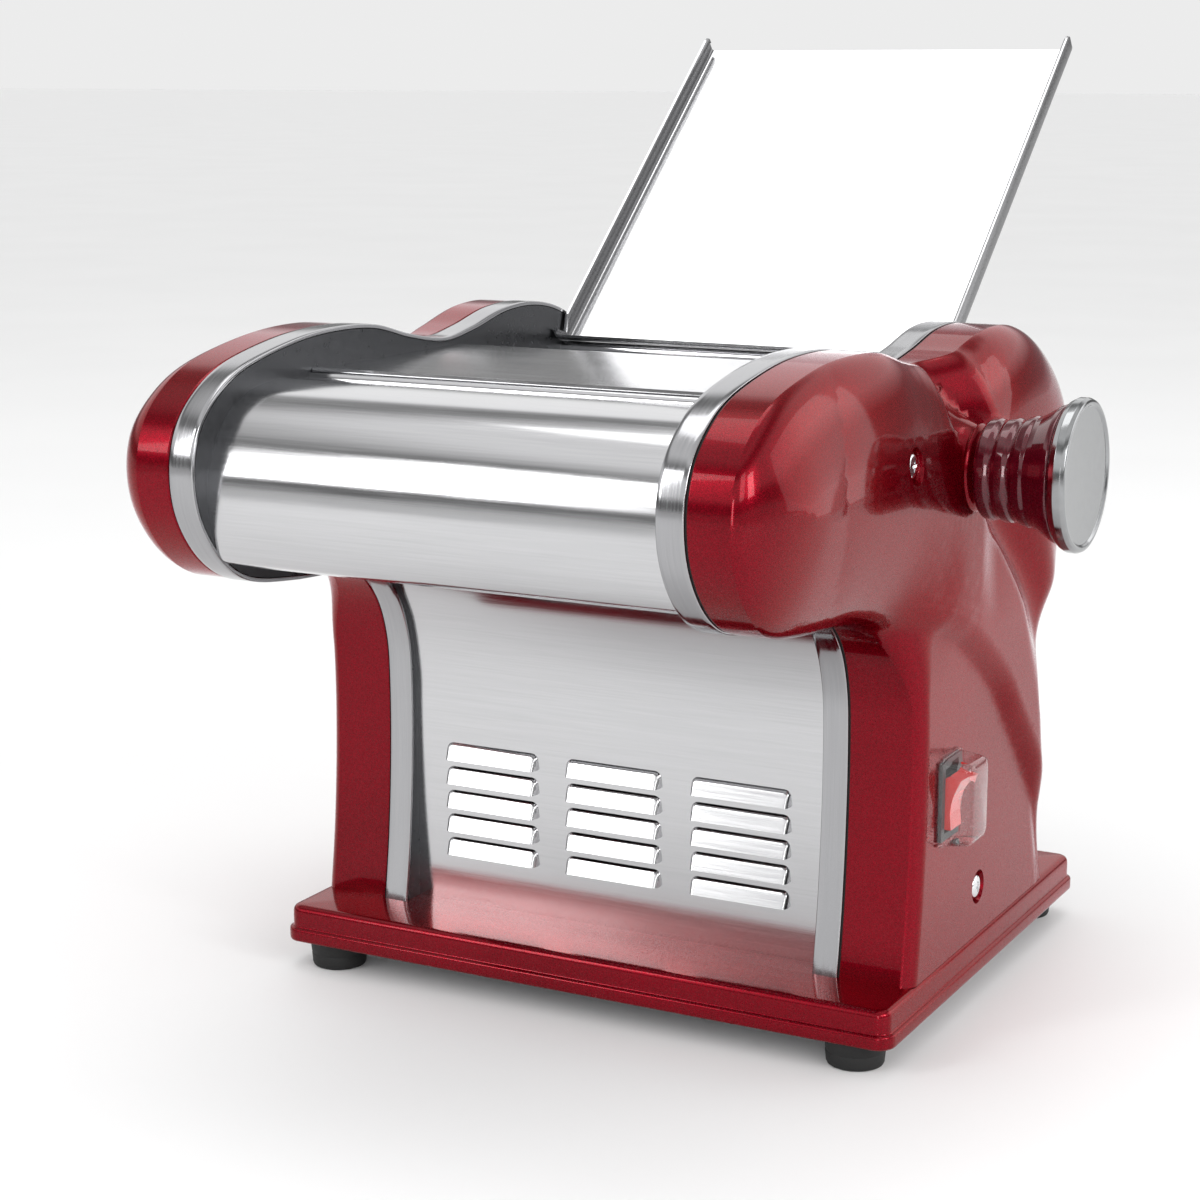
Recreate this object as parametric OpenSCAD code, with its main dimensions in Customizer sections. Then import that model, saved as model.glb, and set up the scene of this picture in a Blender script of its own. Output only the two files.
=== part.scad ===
// Electric noodle and pasta roller machine.
// +X is the adjusting-knob side, +Y is the dough tray side, +Z is up.
// Lengths are in millimetres. The origin lies under the middle of the
// machine's overall box, on the surface that the feet stand on.

/* [Body] */
// Clear width between the two steel trim bands
band_gap = 197; // [192:0.5:198]
// Outermost reach of each side cover from the mid plane
cover_x = 145; // [143:0.5:147]
// Width of each steel trim band
band_w = 11; // [9:0.5:11.5]
// Thickness of the steel trim bands
band_t = 1.6; // [1.2:0.1:2]

/* [Base] */
// Width of the base plinth
base_w = 289; // [285:1:292]
// Depth of the base plinth
base_d = 240; // [236:1:246]
// Height of the base plinth
base_h = 16; // [14:1:16]
// Height of the rubber feet
foot_h = 12; // [10:1:12]
// Foot radius at the top
foot_r = 13; // [12:0.5:14]

/* [Rollers] */
// Radius of the two press rollers
roller_r = 23; // [22.8:0.05:23.1]
// Gap between the press rollers at rest
roller_gap = 1.5; // [1.4:0.1:1.6]
// Outer radius of the noodle cutter rings
cutter_r = 13.6; // [13.2:0.1:13.7]
// Pitch of the cutter rings, twice the noodle width
cutter_pitch = 6; // [5:1:8]

/* [Knob] */
// Radius of the knob's end disc
knob_r = 30.8; // [28:0.2:31]
// Reach of the knob from the mid plane
knob_x = 193; // [190:1:195]

/* [Tray] */
// Width of the dough tray
tray_w = 195; // [190:1:196]
// Height of the tray's side flanges
tray_flange = 11; // [8:1:12]

/* [Vents] */
// Number of slots in each column of vents
vent_rows = 5; // [3:1:5]
// Height of one vent slot
vent_h = 7; // [5:0.5:7.5]

/* [Hidden] */
$fn = 48;

red = [0.52, 0.03, 0.06];
dark_red = [0.30, 0.02, 0.05];
steel = [0.80, 0.80, 0.82];
dark_steel = [0.45, 0.46, 0.48];
black = [0.06, 0.06, 0.06];
brass_c = [0.78, 0.62, 0.32];
nylon = [0.88, 0.87, 0.82];

hb = band_gap / 2;              // inner edge of the bands
plate_t = 3;                    // side plate thickness
bz0 = foot_h;                   // plinth underside
bz1 = foot_h + base_h;          // plinth top
tray_top = [217, 402];          // upper edge of the tray, y and z
tray_foot = [59, 266.5];        // lower edge of the tray, y and z
nose_y = -236;                  // front of the cutter head

// shift from the body's own mid plane to the origin
org = [-(knob_x - cover_x) / 2, -(tray_top[0] + 0.8 + nose_y) / 2, 0];

// shaft centres, y and z
F = [39.5, 236];                        // rear press roller
A = [F[0] - 2 * roller_r - roller_gap, 236]; // front press roller
K = [-45, 236];                         // knob and cam shaft
B = [10, 179.2];                        // reduction gear
P = [10, 127.2];                        // motor pinion
G1 = [-63.7, 217.4];                    // first idler
G2 = [-135.2, 232];                     // second idler
C2 = [-177.4, 240.1];                   // rear cutter
C1 = [-203.4, 240.1];                   // front cutter
SW = [-53, 100];                        // switch
gx0 = 109; gx1 = 117;                   // gear plane

// side outline of the machine, clockwise from the front foot of the pedestal
side = [[-90, 28], [-86, 58], [-83.5, 92], [-83, 125], [-85, 148],
  [-93, 167], [-108, 180], [-134, 186], [-170, 189], [-200, 194],
  [-219, 205], [-232, 222], [-236, 240], [-232, 257], [-220, 270],
  [-200, 280], [-165, 287], [-135, 289], [-106, 287.5], [-78, 281],
  [-50, 277], [-25, 280], [5, 286], [35, 286], [62, 279], [88, 263],
  [104, 240], [108, 216], [100, 192], [82, 174], [64, 156], [56, 134],
  [60, 104], [70, 70], [84, 28]];

function cr(a, b, c, d, t) = 0.5 * (2 * b + (c - a) * t
  + (2 * a - 5 * b + 4 * c - d) * t * t + (3 * b - a - 3 * c + d) * t * t * t);
function smooth(p, n) = let (m = len(p) - 1) concat(
  [for (i = [0:m - 1]) for (k = [0:n - 1])
    cr(p[max(i - 1, 0)], p[i], p[i + 1], p[min(i + 2, m)], k / n)], [p[m]]);
function unit(v) = v / norm(v);
function left(v) = [-v[1], v[0]];
function dir(p, i) = let (m = len(p) - 1)
  unit(p[min(i + 1, m)] - p[max(i - 1, 0)]);
// outline moved inwards by d, with its straight foot kept at height zb
function inset(p, d, zb = 28) = let (m = len(p) - 1)
  [for (i = [0:m]) i == 0 ? [p[0][0] + d, zb]
    : i == m ? [p[m][0] - d, zb] : p[i] - left(dir(p, i)) * d];
outline = smooth(side, 3);
// a strip of thickness t laid along the left of a path
function strip(p, t) = concat(p, [for (i = [len(p) - 1:-1:0]) p[i] + left(dir(p, i)) * t]);
function arc(c, r, a0, a1, n) = [for (i = [0:n]) c + r * [cos(a0 + (a1 - a0) * i / n), sin(a0 + (a1 - a0) * i / n)]];

// gears
function inv(x) = tan(x) - x * PI / 180;
function half(N, m, r, bl) = let (rb = m * N * cos(20) / 2, q = max(r, rb))
  90 / N * (1 - bl) + (inv(20) - inv(acos(min(1, rb / q)))) * 180 / PI;
function pol(r, a) = [r * cos(a), r * sin(a)];
function gear_pts(N, m, bl = 0.1) = let (rp = m * N / 2, ra = rp + 0.9 * m,
  rr = rp - 1.2 * m, rs = [rr, max(rr + 0.3, rp - 0.5 * m), rp + 0.15 * m, ra])
  [for (k = [0:N - 1]) each concat(
    [for (j = [0:3]) pol(rs[j], 360 * k / N - half(N, m, rs[j], bl))],
    [for (j = [3:-1:0]) pol(rs[j], 360 * k / N + half(N, m, rs[j], bl))])];
// turn of a gear of Nj teeth that meshes with one of Ni teeth turned by a
function mesh(a, Ni, ci, Nj, cj) = let (t = atan2(cj[1] - ci[1], cj[0] - ci[0]))
  t + 180 - 180 / Nj + (t - a) * Ni / Nj;
aF = 0;
aB = mesh(aF, 24, F, 40, B);
aP = mesh(aB, 40, B, 12, P);
a1 = mesh(aB, 40, B, 43, G1);
a2 = mesh(a1, 43, G1, 30, G2);
aC2 = mesh(a2, 30, G2, 13, C2);
aC1 = mesh(aC2, 13, C2, 13, C1);
aS = mesh(0, 20, F, 20, A);

module at() translate(org) children();
module yz(x0, x1) rotate([90, 0, 90]) translate([0, 0, x0]) linear_extrude(x1 - x0) children();
module rod(c, r, x0, x1) translate([x0, c[0], c[1]]) rotate([0, 90, 0]) cylinder(r = r, h = x1 - x0);
module sides() for (s = [0, 1]) mirror([s, 0, 0]) children();
module gear(N, m, c, a, x0, x1, bore) difference() {
  yz(x0, x1) translate(c) rotate(a) polygon(gear_pts(N, m));
  rod(c, bore, x0 - 1, x1 + 1);
}
module box(x0, x1, y0, y1, z0, z1) translate([x0, y0, z0]) cube([x1 - x0, y1 - y0, z1 - z0]);
module rounded(w, d, r) {
  square([w - 2 * r, d], center = true);
  square([w, d - 2 * r], center = true);
  for (x = [-1, 1], y = [-1, 1]) translate([x * (w / 2 - r), y * (d / 2 - r)]) circle(r);
}
feet_xy = [for (x = [-1, 1], y = [-1, 1]) [x * (base_w / 2 - 20), y * (base_d / 2 - 15)]];

// ---- base ----
module base_plinth() at() color(red) difference() {
  union() {
    translate([0, 0, bz0]) linear_extrude(6) rounded(base_w, base_d, 8);
    translate([0, 0, bz0 + 6]) linear_extrude(base_h - 6) rounded(base_w - 4, base_d - 4, 7);
  }
  translate([0, 0, bz0 - 1]) linear_extrude(base_h - 1.5) rounded(base_w - 8, base_d - 8, 5);
  for (x = [-40:16:40]) box(x - 3, x + 3, -40, 30, bz0, bz1 + 1);
}
module base_plate() at() color(dark_steel) difference() {
  translate([0, 0, bz0]) linear_extrude(1.5) rounded(base_w - 8.4, base_d - 8.4, 5);
  for (p = feet_xy) translate([p[0], p[1], bz0 - 1]) cylinder(r = 2.1, h = 4);
  for (x = [-40:16:40]) box(x - 3, x + 3, -40, 30, bz0 - 1, bz0 + 3);
}
module feet() at() color(black) for (p = feet_xy) translate(p) difference() {
  cylinder(r1 = foot_r - 1.2, r2 = foot_r, h = foot_h);
  translate([0, 0, -1]) cylinder(r = 5, h = 5);
  cylinder(r = 2.1, h = foot_h + 1);
}
module foot_screws() at() color(steel) for (p = feet_xy) translate(p) {
  translate([0, 0, 1.5]) cylinder(r = 4, h = 2.5);
  translate([0, 0, 3.5]) cylinder(r = 2, h = foot_h + 0.5);
}

// ---- frame ----
module plate_shape() intersection() {
  polygon(inset(outline, band_t + 0.3, 20));
  translate([-300, bz1]) square([600, 400]);
}
module side_plate(leftside) difference() {
  yz(hb, hb + plate_t) plate_shape();
  rod(F, 11, hb - 1, hb + 5);
  rod(K, 8.5, hb - 1, hb + 5);
  rod(C1, 9, hb - 1, hb + 5);
  rod(C2, 9, hb - 1, hb + 5);
  box(hb - 1, hb + 5, A[0] - 25.5, A[0] + 14.5, A[1] - 12.1, A[1] + 12.1);
  for (p = tie_yz) rod(p, 3, hb - 1, hb + 5);
  for (p = leftside ? posts_left : posts_right) rod(p, 2, hb - 1, hb + 5);
  if (leftside) {
    for (p = [B, G1, G2]) rod(p, 5, hb - 1, hb + 5);
    rod(P, 8, hb - 1, hb + 5);
  }
  else box(hb - 1, hb + 5, SW[0] - 12, SW[0] + 12, 60, 78);
}
tie_yz = [[-150, 212], [84, 222], [-62, 52], [52, 60]];
posts_left = [[-104, 268], [-12, 49.5]];
posts_right = [[-109, 245], [-12, 49.5]];
module left_side_plate() at() color(dark_steel) mirror([1, 0, 0]) side_plate(true);
module right_side_plate() at() color(dark_steel) side_plate(false);
module tie_rods() at() color(steel) for (p = tie_yz) {
  rod(p, 5, -hb, hb);
  sides() { rod(p, 3, hb, hb + plate_t); rod(p, 5, hb + plate_t, hb + plate_t + 3); }
}
module frame_brackets() at() color(dark_steel) sides() for (y = [-72, 38]) difference() {
  union() {
    box(hb - 18, hb, y, y + 14, bz1, bz1 + 2.5);
    box(hb - 2.5, hb, y, y + 14, bz1, bz1 + 16);
  }
  translate([hb - 11, y + 7, bz1 - 1]) cylinder(r = 2.1, h = 5);
}

// ---- bands, seals and covers ----
module band() yz(hb, hb + band_w) difference() {
  polygon(inset(outline, 0));
  polygon(inset(outline, band_t, 20));
}
module left_trim_band() at() color(steel) mirror([1, 0, 0]) band();
module right_trim_band() at() color(steel) band();
module seal() yz(hb + band_w, hb + band_w + 0.8) difference() {
  polygon(inset(outline, 1.4));
  polygon(inset(outline, 5, 20));
}
module left_seal() at() color(black) mirror([1, 0, 0]) seal();
module right_seal() at() color(black) seal();
c0 = hb + band_w + 0.8;
cf = cover_x - 3;               // flat side of the pedestal
module ring(a, b, x0, x1) yz(x0, x1) difference() {
  polygon(inset(outline, a));
  polygon(inset(outline, b, 20));
}
module shell() {
  ring(0.4, 4.2, c0, cf - 11);
  ring(3, 8, cf - 13, cf - 5);
  ring(6.5, 13.5, cf - 7, cf - 1.5);
  yz(cf - 3, cf) polygon(inset(outline, 11));
  yz(cf, cover_x) intersection() {
    polygon(inset(outline, 24));
    translate([-240, 196]) square([360, 90]);
  }
}
module screw_hole(p, xs) { rod(p, 2.1, cf - 4, xs + 1); rod(p, 5.6, xs - 2.4, xs + 1); }
module left_cover() at() color(red) mirror([1, 0, 0]) difference() {
  shell();
  screw_hole(posts_left[0], cf);
  yz(cf, cover_x + 1) translate(posts_left[0]) square(14, center = true);
  screw_hole(posts_left[1], cf);
}
module right_cover() at() color(red) difference() {
  shell();
  screw_hole(posts_right[0], cover_x);
  screw_hole(posts_right[1], cf);
  rod(K, 16.5, cf - 4, cover_x + 1);
  rod(K, 21.6, cf - 0.05, cover_x + 1);
  box(cf - 4, cf + 1, SW[0] - 10.6, SW[0] + 10.6, SW[1] - 15.1, SW[1] + 15.1);
}
module cover_posts() at() color(steel) {
  for (p = posts_right) rod(p, 4.5, hb + plate_t, cf - 3);
  mirror([1, 0, 0]) for (p = posts_left) rod(p, 4.5, hb + plate_t, cf - 3);
}
module screw(p, xs) { rod(p, 5, xs - 2.4, xs - 0.4); rod(p, 2, cf - 3, xs - 2.4); }
module cover_screws() at() color(steel) {
  screw(posts_right[0], cover_x); screw(posts_right[1], cf);
  mirror([1, 0, 0]) { screw(posts_left[0], cf); screw(posts_left[1], cf); }
}

// ---- sheet-metal skins between the side plates ----
pw = hb;
module vents(y0, y1) for (x = [-60, 0, 60], k = [0:vent_rows - 1])
  translate([x, y0, 54 + 10.9 * k]) rotate([-90, 0, 0]) {
    translate([-22.5 + 2.5, -vent_h / 2, 0]) cube([40, vent_h, y1 - y0]);
    for (s = [-1, 1]) translate([s * 20, 0, 0]) {
      translate([-2.5, -vent_h / 2 + 2.5, 0]) cube([5, vent_h - 5, y1 - y0]);
      for (t = [-1, 1]) translate([0, t * (vent_h / 2 - 2.5), 0]) cylinder(r = 2.5, h = y1 - y0);
    }
  }
module front_panel() at() color(steel) difference() {
  yz(-pw, pw) polygon(strip([[-78, 28], [-78, 60], [-78, 92], [-78, 120],
    [-78.6, 134], [-80.8, 148], [-85.5, 161], [-93, 173], [-104, 182], [-120, 188],
    [-140, 191.5], [-158, 193]], -1.2));
  vents(-80, -70);
}
module rear_panel() at() color(steel) difference() {
  yz(-pw, pw) intersection() {
  translate([0, bz1]) square([200, 200]);
  polygon(strip([[79.2, 28], [66, 70], [57, 104], [53.5, 124], [54, 138], [57, 145.5]], 1.2));
  }
  vents(50, 85);
  translate([-70, 60, 44]) rotate([-90, 0, 0]) cylinder(r = 7, h = 40);
}
module cutter_housing() at() color(steel) yz(-pw, pw) polygon(strip(
  [[-168, 262], [-168, 270], [-172, 272], [-190, 271], [-205, 266.5], [-216, 258],
   [-223.5, 247], [-226.5, 235], [-226, 222], [-222, 210.5], [-217, 204.5], [-210, 202]], 1.4));
module roller_housing() at() color(steel) yz(-pw, pw) polygon(strip(
  [[97, 192], [102.5, 204], [105, 218], [103, 236], [96, 250], [85, 259.5], [74, 264.2], [65, 265], [57, 265], [55.5, 259.5]], 1.4));
module top_plate() at() color(steel) yz(-pw, pw) polygon(strip(
  [[-34, 262], [-35, 270.5], [-38, 273], [-60, 273], [-153.5, 273], [-157, 271], [-158, 262]], 1.5));
module sheet_chute() at() color(steel) yz(-pw, pw) polygon(strip(
  [[2, 208], [4, 196], [10, 184], [20, 172], [34, 161], [50, 152], [58, 148]], 1.2));

// ---- motor ----
MC = [-14, 88];
module motor_body() at() color(dark_steel) {
  rod(MC, 41, -74, 36);
  rod(MC, 8, 36, 42);
}
module motor_gearbox() at() color(steel) difference() {
  yz(-hb, -74) union() {
    translate(MC) circle(34);
    translate([P[0], P[1]]) circle(20);
    polygon([[-40, 66], [20, 60], [30, 120], [-10, 134]]);
  }
  rod(P, 5.05, -hb - 1, -80);
}
module motor_bracket() at() color(dark_steel) difference() {
  union() {
    box(-66, 28, MC[0] - 34, MC[0] + 34, bz1, bz1 + 3);
    for (x = [-66, 24]) box(x, x + 4, MC[0] - 30, MC[0] + 30, bz1 + 3, MC[1]);
  }
  rod(MC, 41, -80, 40);
}
module motor_capacitor() at() color(nylon) {
  rod([-52, 88], 13, 50, 94);
  rod([-52, 88], 3, 94, hb);
}
module motor_shaft() at() color(steel) rod(P, 5, -118, -81);
module motor_pinion() at() color(steel) mirror([1, 0, 0]) gear(12, 2, P, aP, gx0, gx1, 5);

// ---- gear train on the left ----
module reduction_gear() at() color(nylon) mirror([1, 0, 0]) gear(40, 2, B, aB, gx0, gx1, 5.05);
module idler_gear_1() at() color(nylon) mirror([1, 0, 0]) gear(43, 2, G1, a1, gx0, gx1, 5.05);
module idler_gear_2() at() color(nylon) mirror([1, 0, 0]) gear(30, 2, G2, a2, gx0, gx1, 5.05);
module gear_axles() at() color(steel) mirror([1, 0, 0]) for (p = [B, G1, G2]) {
  rod(p, 5, hb, gx1 + 0.4);
  rod(p, 8, hb + plate_t, gx0 - 0.3);
  rod(p, 7.5, gx1 + 0.3, gx1 + 1.8);
}

// ---- press rollers ----
// tube with pressed-in end plugs, hollow through its journals
module press_roller(c, x0, x1) difference() {
  union() { rod(c, roller_r, -95, 95); rod(c, 8, x0, x1); }
  rod(c, roller_r - 5, -88, 88);
  rod(c, 3, x0 - 1, x1 + 1);
}
module rear_roller() at() color(steel) press_roller(F, -118, 118);
module rear_roller_drive_gear() at() color(steel) mirror([1, 0, 0]) gear(24, 2, F, aF, gx0, gx1, 8);
module rear_roller_sync_gear() at() color(steel) gear(20, 2.32, F, 0, gx0, gx1, 8);
module roller_bushes() at() color(brass_c) sides() difference() {
  union() { rod(F, 11, hb - 1, hb + plate_t); rod(F, 13, hb + plate_t, hb + plate_t + 3); }
  rod(F, 8.05, hb - 3, hb + 10);
}
module front_roller() at() color(steel) press_roller(A, -106.5, 118);
module front_roller_sync_gear() at() color(steel) gear(20, 2.32, A, aS, gx0, gx1, 8);
module bearing_blocks() at() color(brass_c) sides() difference() {
  box(hb - 1.5, hb + 7.5, A[0] - 23, A[0] + 13, A[1] - 12, A[1] + 12);
  rod(A, 8.05, hb - 5, hb + 10);
}
module roller_scrapers() at() color(steel) yz(-hb, hb) {
  polygon([[-34, 200], [-33, 199], [-20.5, 214.2], [-21.6, 215.2]]);
  polygon([[67, 199], [68, 200], [54.1, 216.2], [53, 215.2]]);
}

// ---- noodle cutters ----
module cutter(c, odd) {
  n = floor(186 / cutter_pitch);
  x0 = -n * cutter_pitch / 2 + (odd ? cutter_pitch / 2 : 0);
  w = cutter_pitch / 2 - 0.1;
  pts = concat([[0, -93], [11.6, -93]],
    [for (k = [0:n - 1]) let (x = x0 + k * cutter_pitch) each
      x + w < 93 ? [[11.6, x], [cutter_r, x], [cutter_r, x + w], [11.6, x + w]] : []],
    [[11.6, 93], [0, 93]]);
  translate([0, c[0], c[1]]) rotate([0, 90, 0]) rotate_extrude() polygon(pts);
  rod(c, 6, -118, -93);
  rod(c, 6, 93, 105);
}
module cutter_front() at() color(steel) cutter(C1, false);
module cutter_rear() at() color(steel) cutter(C2, true);
module cutter_gear_front() at() color(steel) mirror([1, 0, 0]) gear(13, 2, C1, aC1, gx0, gx1, 6);
module cutter_gear_rear() at() color(steel) mirror([1, 0, 0]) gear(13, 2, C2, aC2, gx0, gx1, 6);
module cutter_bushes() at() color(brass_c) sides() for (c = [C1, C2]) difference() {
  union() { rod(c, 9, hb - 1, hb + plate_t); rod(c, 11, hb + plate_t, hb + plate_t + 2); }
  rod(c, 6.05, hb - 3, hb + 10);
}
module cutter_combs() at() color(steel) yz(-hb, hb) {
  polygon([[-214, 212], [-212.8, 211.4], [-207.8, 224.4], [-209, 225]]);
  polygon([[-167.4, 211.4], [-166.2, 212], [-171.8, 225], [-173, 224.4]]);
}

// ---- gap adjuster ----
cam_k = 3 / 270;                 // lift per degree
function cam_r(a) = let (q = ((a % 360) + 360) % 360)
  13.7 + (q <= 99 ? cam_k * q : q >= 189 ? cam_k * (q - 360)
    : 1.1 - 3 * (q - 99) / 90);
module cam() difference() {
  yz(hb + 3.7, hb + 7.3) translate(K) polygon([for (a = [0:4:356]) pol(cam_r(-a), a)]);
  rod(K, 6, hb, hb + 10);
}
module cam_shaft() at() color(steel) rod(K, 6, -106.5, knob_x - 9);
module gap_cams() at() color(steel) {
  cam();
  mirror([1, 0, 0]) cam();
}
module cam_bushes() at() color(brass_c) sides() difference() {
  rod(K, 8.5, hb - 1, hb + plate_t);
  rod(K, 6.05, hb - 3, hb + 10);
}
module knob_collar() at() color(red) difference() {
  translate([0, K[0], K[1]]) rotate([0, 90, 0]) rotate_extrude() polygon([[8, cf - 3],
    [16, cf - 3], [16, cf], [21, cf], [20.4, cf + 1.6], [18.5, cf + 2.8], [16.6, cf + 6], [16, cf + 9.5], [8, cf + 9.5]]);
  rod(K, 8, 100, 200);
}
module knob_hub() at() color(dark_red) difference() {
  translate([0, K[0], K[1]]) rotate([0, 90, 0]) rotate_extrude() polygon([[6, cf + 10],
    [14, cf + 10], [15.2, cf + 13], [15.2, cf + 16], [13.6, cf + 18], [13.6, cf + 21],
    [15.8, cf + 24], [17.5, cf + 29], [20.5, cf + 34], [25, cf + 39], [28.5, knob_x - 8], [6, knob_x - 8]]);
  rod(K, 6, 100, knob_x - 9);
}
module knob_disc() at() color(steel) translate([0, K[0], K[1]]) rotate([0, 90, 0]) rotate_extrude()
  polygon([[0, knob_x - 8], [28.5, knob_x - 8], [knob_r - 0.6, knob_x - 6.5], [knob_r, knob_x - 5],
    [knob_r, knob_x - 2], [knob_r - 1, knob_x - 0.4], [0, knob_x]]);

// ---- switch ----
module switch_body() at() color(black) difference() {
  union() {
    box(cf - 22, cf, SW[0] - 10.5, SW[0] + 10.5, SW[1] - 15, SW[1] + 15);
    box(cf, cf + 1.4, SW[0] - 11, SW[0] + 11, SW[1] - 16.6, SW[1] + 16.6);
  }
  box(cf - 11, cf + 3, SW[0] - 7, SW[0] + 7, SW[1] - 13.6, SW[1] + 13.6);
  translate([cf - 1.5, SW[0] - 8, SW[1]]) rotate([-90, 0, 0]) cylinder(r = 1.3, h = 16);
}
module switch_rocker() at() color([0.75, 0.05, 0.05]) translate([cf - 1.5, SW[0] - 6.5, SW[1]]) {
  translate([0, -1, 0]) rotate([-90, 0, 0]) cylinder(r = 1.2, h = 15);
  rotate([-90, 10, 0]) linear_extrude(13) polygon([[-4, 5.5], [2.5, 11.4], [7.5, 10.8],
    [5.8, 4], [5.5, 0], [5.8, -4], [7.5, -10.8], [2.5, -11.4], [-4, -5.5]]);
}
module switch_cover() at() color([0.9, 0.9, 0.9, 0.35]) difference() {
  box(cf, cf + 14, SW[0] - 12.6, SW[0] + 12.6, SW[1] - 19, SW[1] + 19);
  box(cf - 1, cf + 12.8, SW[0] - 11.4, SW[0] + 11.4, SW[1] - 18, SW[1] + 18);
}

// ---- tray and cord gland ----
tdir = unit(tray_top - tray_foot);
module feed_tray() at() color(steel) {
  yz(-tray_w / 2, tray_w / 2) polygon(strip([tray_foot, tray_top], -1.2));
  sides() yz(tray_w / 2 - 1.2, tray_w / 2) polygon([tray_foot, tray_top,
    tray_top + left(tdir) * tray_flange, tray_foot + left(tdir) * tray_flange + tdir * 6,
    tray_foot + [-12, 3], tray_foot + [-12, 0]]);
}
module cord_gland() at() color(black) translate([-70, 0, 44]) rotate([-90, 0, 0]) difference() {
  union() {
    translate([0, 0, 72]) cylinder(r = 6.9, h = 10);
    translate([0, 0, 79.5]) cylinder(r = 10, h = 3);
    translate([0, 0, 82.5]) cylinder(r1 = 8, r2 = 5.5, h = 9);
  }
  translate([0, 0, 60]) cylinder(r = 3.5, h = 40);
}

base_plinth();
base_plate();
feet();
foot_screws();
left_side_plate();
right_side_plate();
tie_rods();
frame_brackets();
left_trim_band();
right_trim_band();
left_seal();
right_seal();
left_cover();
right_cover();
cover_posts();
cover_screws();
front_panel();
rear_panel();
cutter_housing();
roller_housing();
top_plate();
sheet_chute();
motor_body();
motor_gearbox();
motor_bracket();
motor_capacitor();
motor_shaft();
motor_pinion();
reduction_gear();
idler_gear_1();
idler_gear_2();
gear_axles();
rear_roller();
rear_roller_drive_gear();
rear_roller_sync_gear();
roller_bushes();
front_roller();
front_roller_sync_gear();
bearing_blocks();
roller_scrapers();
cutter_front();
cutter_rear();
cutter_gear_front();
cutter_gear_rear();
cutter_bushes();
cutter_combs();
cam_shaft();
gap_cams();
cam_bushes();
knob_collar();
knob_hub();
knob_disc();
switch_body();
switch_rocker();
switch_cover();
feed_tray();
cord_gland();
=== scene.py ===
import bpy, bmesh, math
import numpy as np
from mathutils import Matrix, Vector
from mathutils.geometry import delaunay_2d_cdt


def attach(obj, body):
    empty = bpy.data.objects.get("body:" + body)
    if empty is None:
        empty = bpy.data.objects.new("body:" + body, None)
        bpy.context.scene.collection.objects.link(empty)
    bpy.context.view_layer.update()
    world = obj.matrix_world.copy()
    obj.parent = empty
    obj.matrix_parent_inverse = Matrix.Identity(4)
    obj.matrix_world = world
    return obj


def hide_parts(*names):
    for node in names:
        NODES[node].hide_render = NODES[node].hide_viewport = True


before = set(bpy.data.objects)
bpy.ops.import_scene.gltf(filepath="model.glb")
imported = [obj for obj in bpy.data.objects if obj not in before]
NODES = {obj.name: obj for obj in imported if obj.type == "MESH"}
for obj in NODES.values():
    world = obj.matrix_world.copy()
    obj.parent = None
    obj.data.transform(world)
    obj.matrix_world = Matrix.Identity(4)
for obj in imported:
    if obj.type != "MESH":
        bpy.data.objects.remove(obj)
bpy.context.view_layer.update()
OX, OY = -24.0, 9.1                       # the body's own mid plane to the row's origin, mm


def P(x, y, z):
    return ((x + OX) / 1000.0, (y + OY) / 1000.0, z / 1000.0)


# ------------------------------------------------------------------ materials
def new_mat(name):
    m = bpy.data.materials.new(name)
    m.use_nodes = True
    nt = m.node_tree
    nt.nodes.clear()
    out = nt.nodes.new("ShaderNodeOutputMaterial")
    b = nt.nodes.new("ShaderNodeBsdfPrincipled")
    nt.links.new(b.outputs[0], out.inputs[0])
    return m, nt, b


def coords(nt, scale=(1, 1, 1)):
    tc = nt.nodes.new("ShaderNodeTexCoord")
    mp = nt.nodes.new("ShaderNodeMapping")
    mp.inputs["Scale"].default_value = scale
    nt.links.new(tc.outputs["Object"], mp.inputs[0])
    return mp.outputs[0]


def noise(nt, vec, scale, detail=4, rough=0.5, dist=0.0):
    n = nt.nodes.new("ShaderNodeTexNoise")
    n.inputs["Scale"].default_value = scale
    n.inputs["Detail"].default_value = detail
    n.inputs["Roughness"].default_value = rough
    n.inputs["Distortion"].default_value = dist
    nt.links.new(vec, n.inputs["Vector"])
    return n.outputs["Fac"]


def mrange(nt, v, a, b, c, d):
    n = nt.nodes.new("ShaderNodeMapRange")
    for k, x in zip(("From Min", "From Max", "To Min", "To Max"), (a, b, c, d)):
        n.inputs[k].default_value = x
    nt.links.new(v, n.inputs["Value"])
    return n.outputs[0]


def ramp(nt, v, stops):
    n = nt.nodes.new("ShaderNodeValToRGB")
    el = n.color_ramp.elements
    while len(el) < len(stops):
        el.new(0.5)
    for e, (p, c) in zip(el, stops):
        e.position = p
        e.color = (*c, 1)
    nt.links.new(v, n.inputs[0])
    return n.outputs[0]


def bump(nt, b, h, strength, dist):
    n = nt.nodes.new("ShaderNodeBump")
    n.inputs["Strength"].default_value = strength
    n.inputs["Distance"].default_value = dist
    nt.links.new(h, n.inputs["Height"])
    nt.links.new(n.outputs[0], b.inputs["Normal"])


def math_node(nt, op, a, c):
    n = nt.nodes.new("ShaderNodeMath")
    n.operation = op
    nt.links.new(a, n.inputs[0])
    if isinstance(c, (int, float)):
        n.inputs[1].default_value = c
    else:
        nt.links.new(c, n.inputs[1])
    return n.outputs[0]


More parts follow.
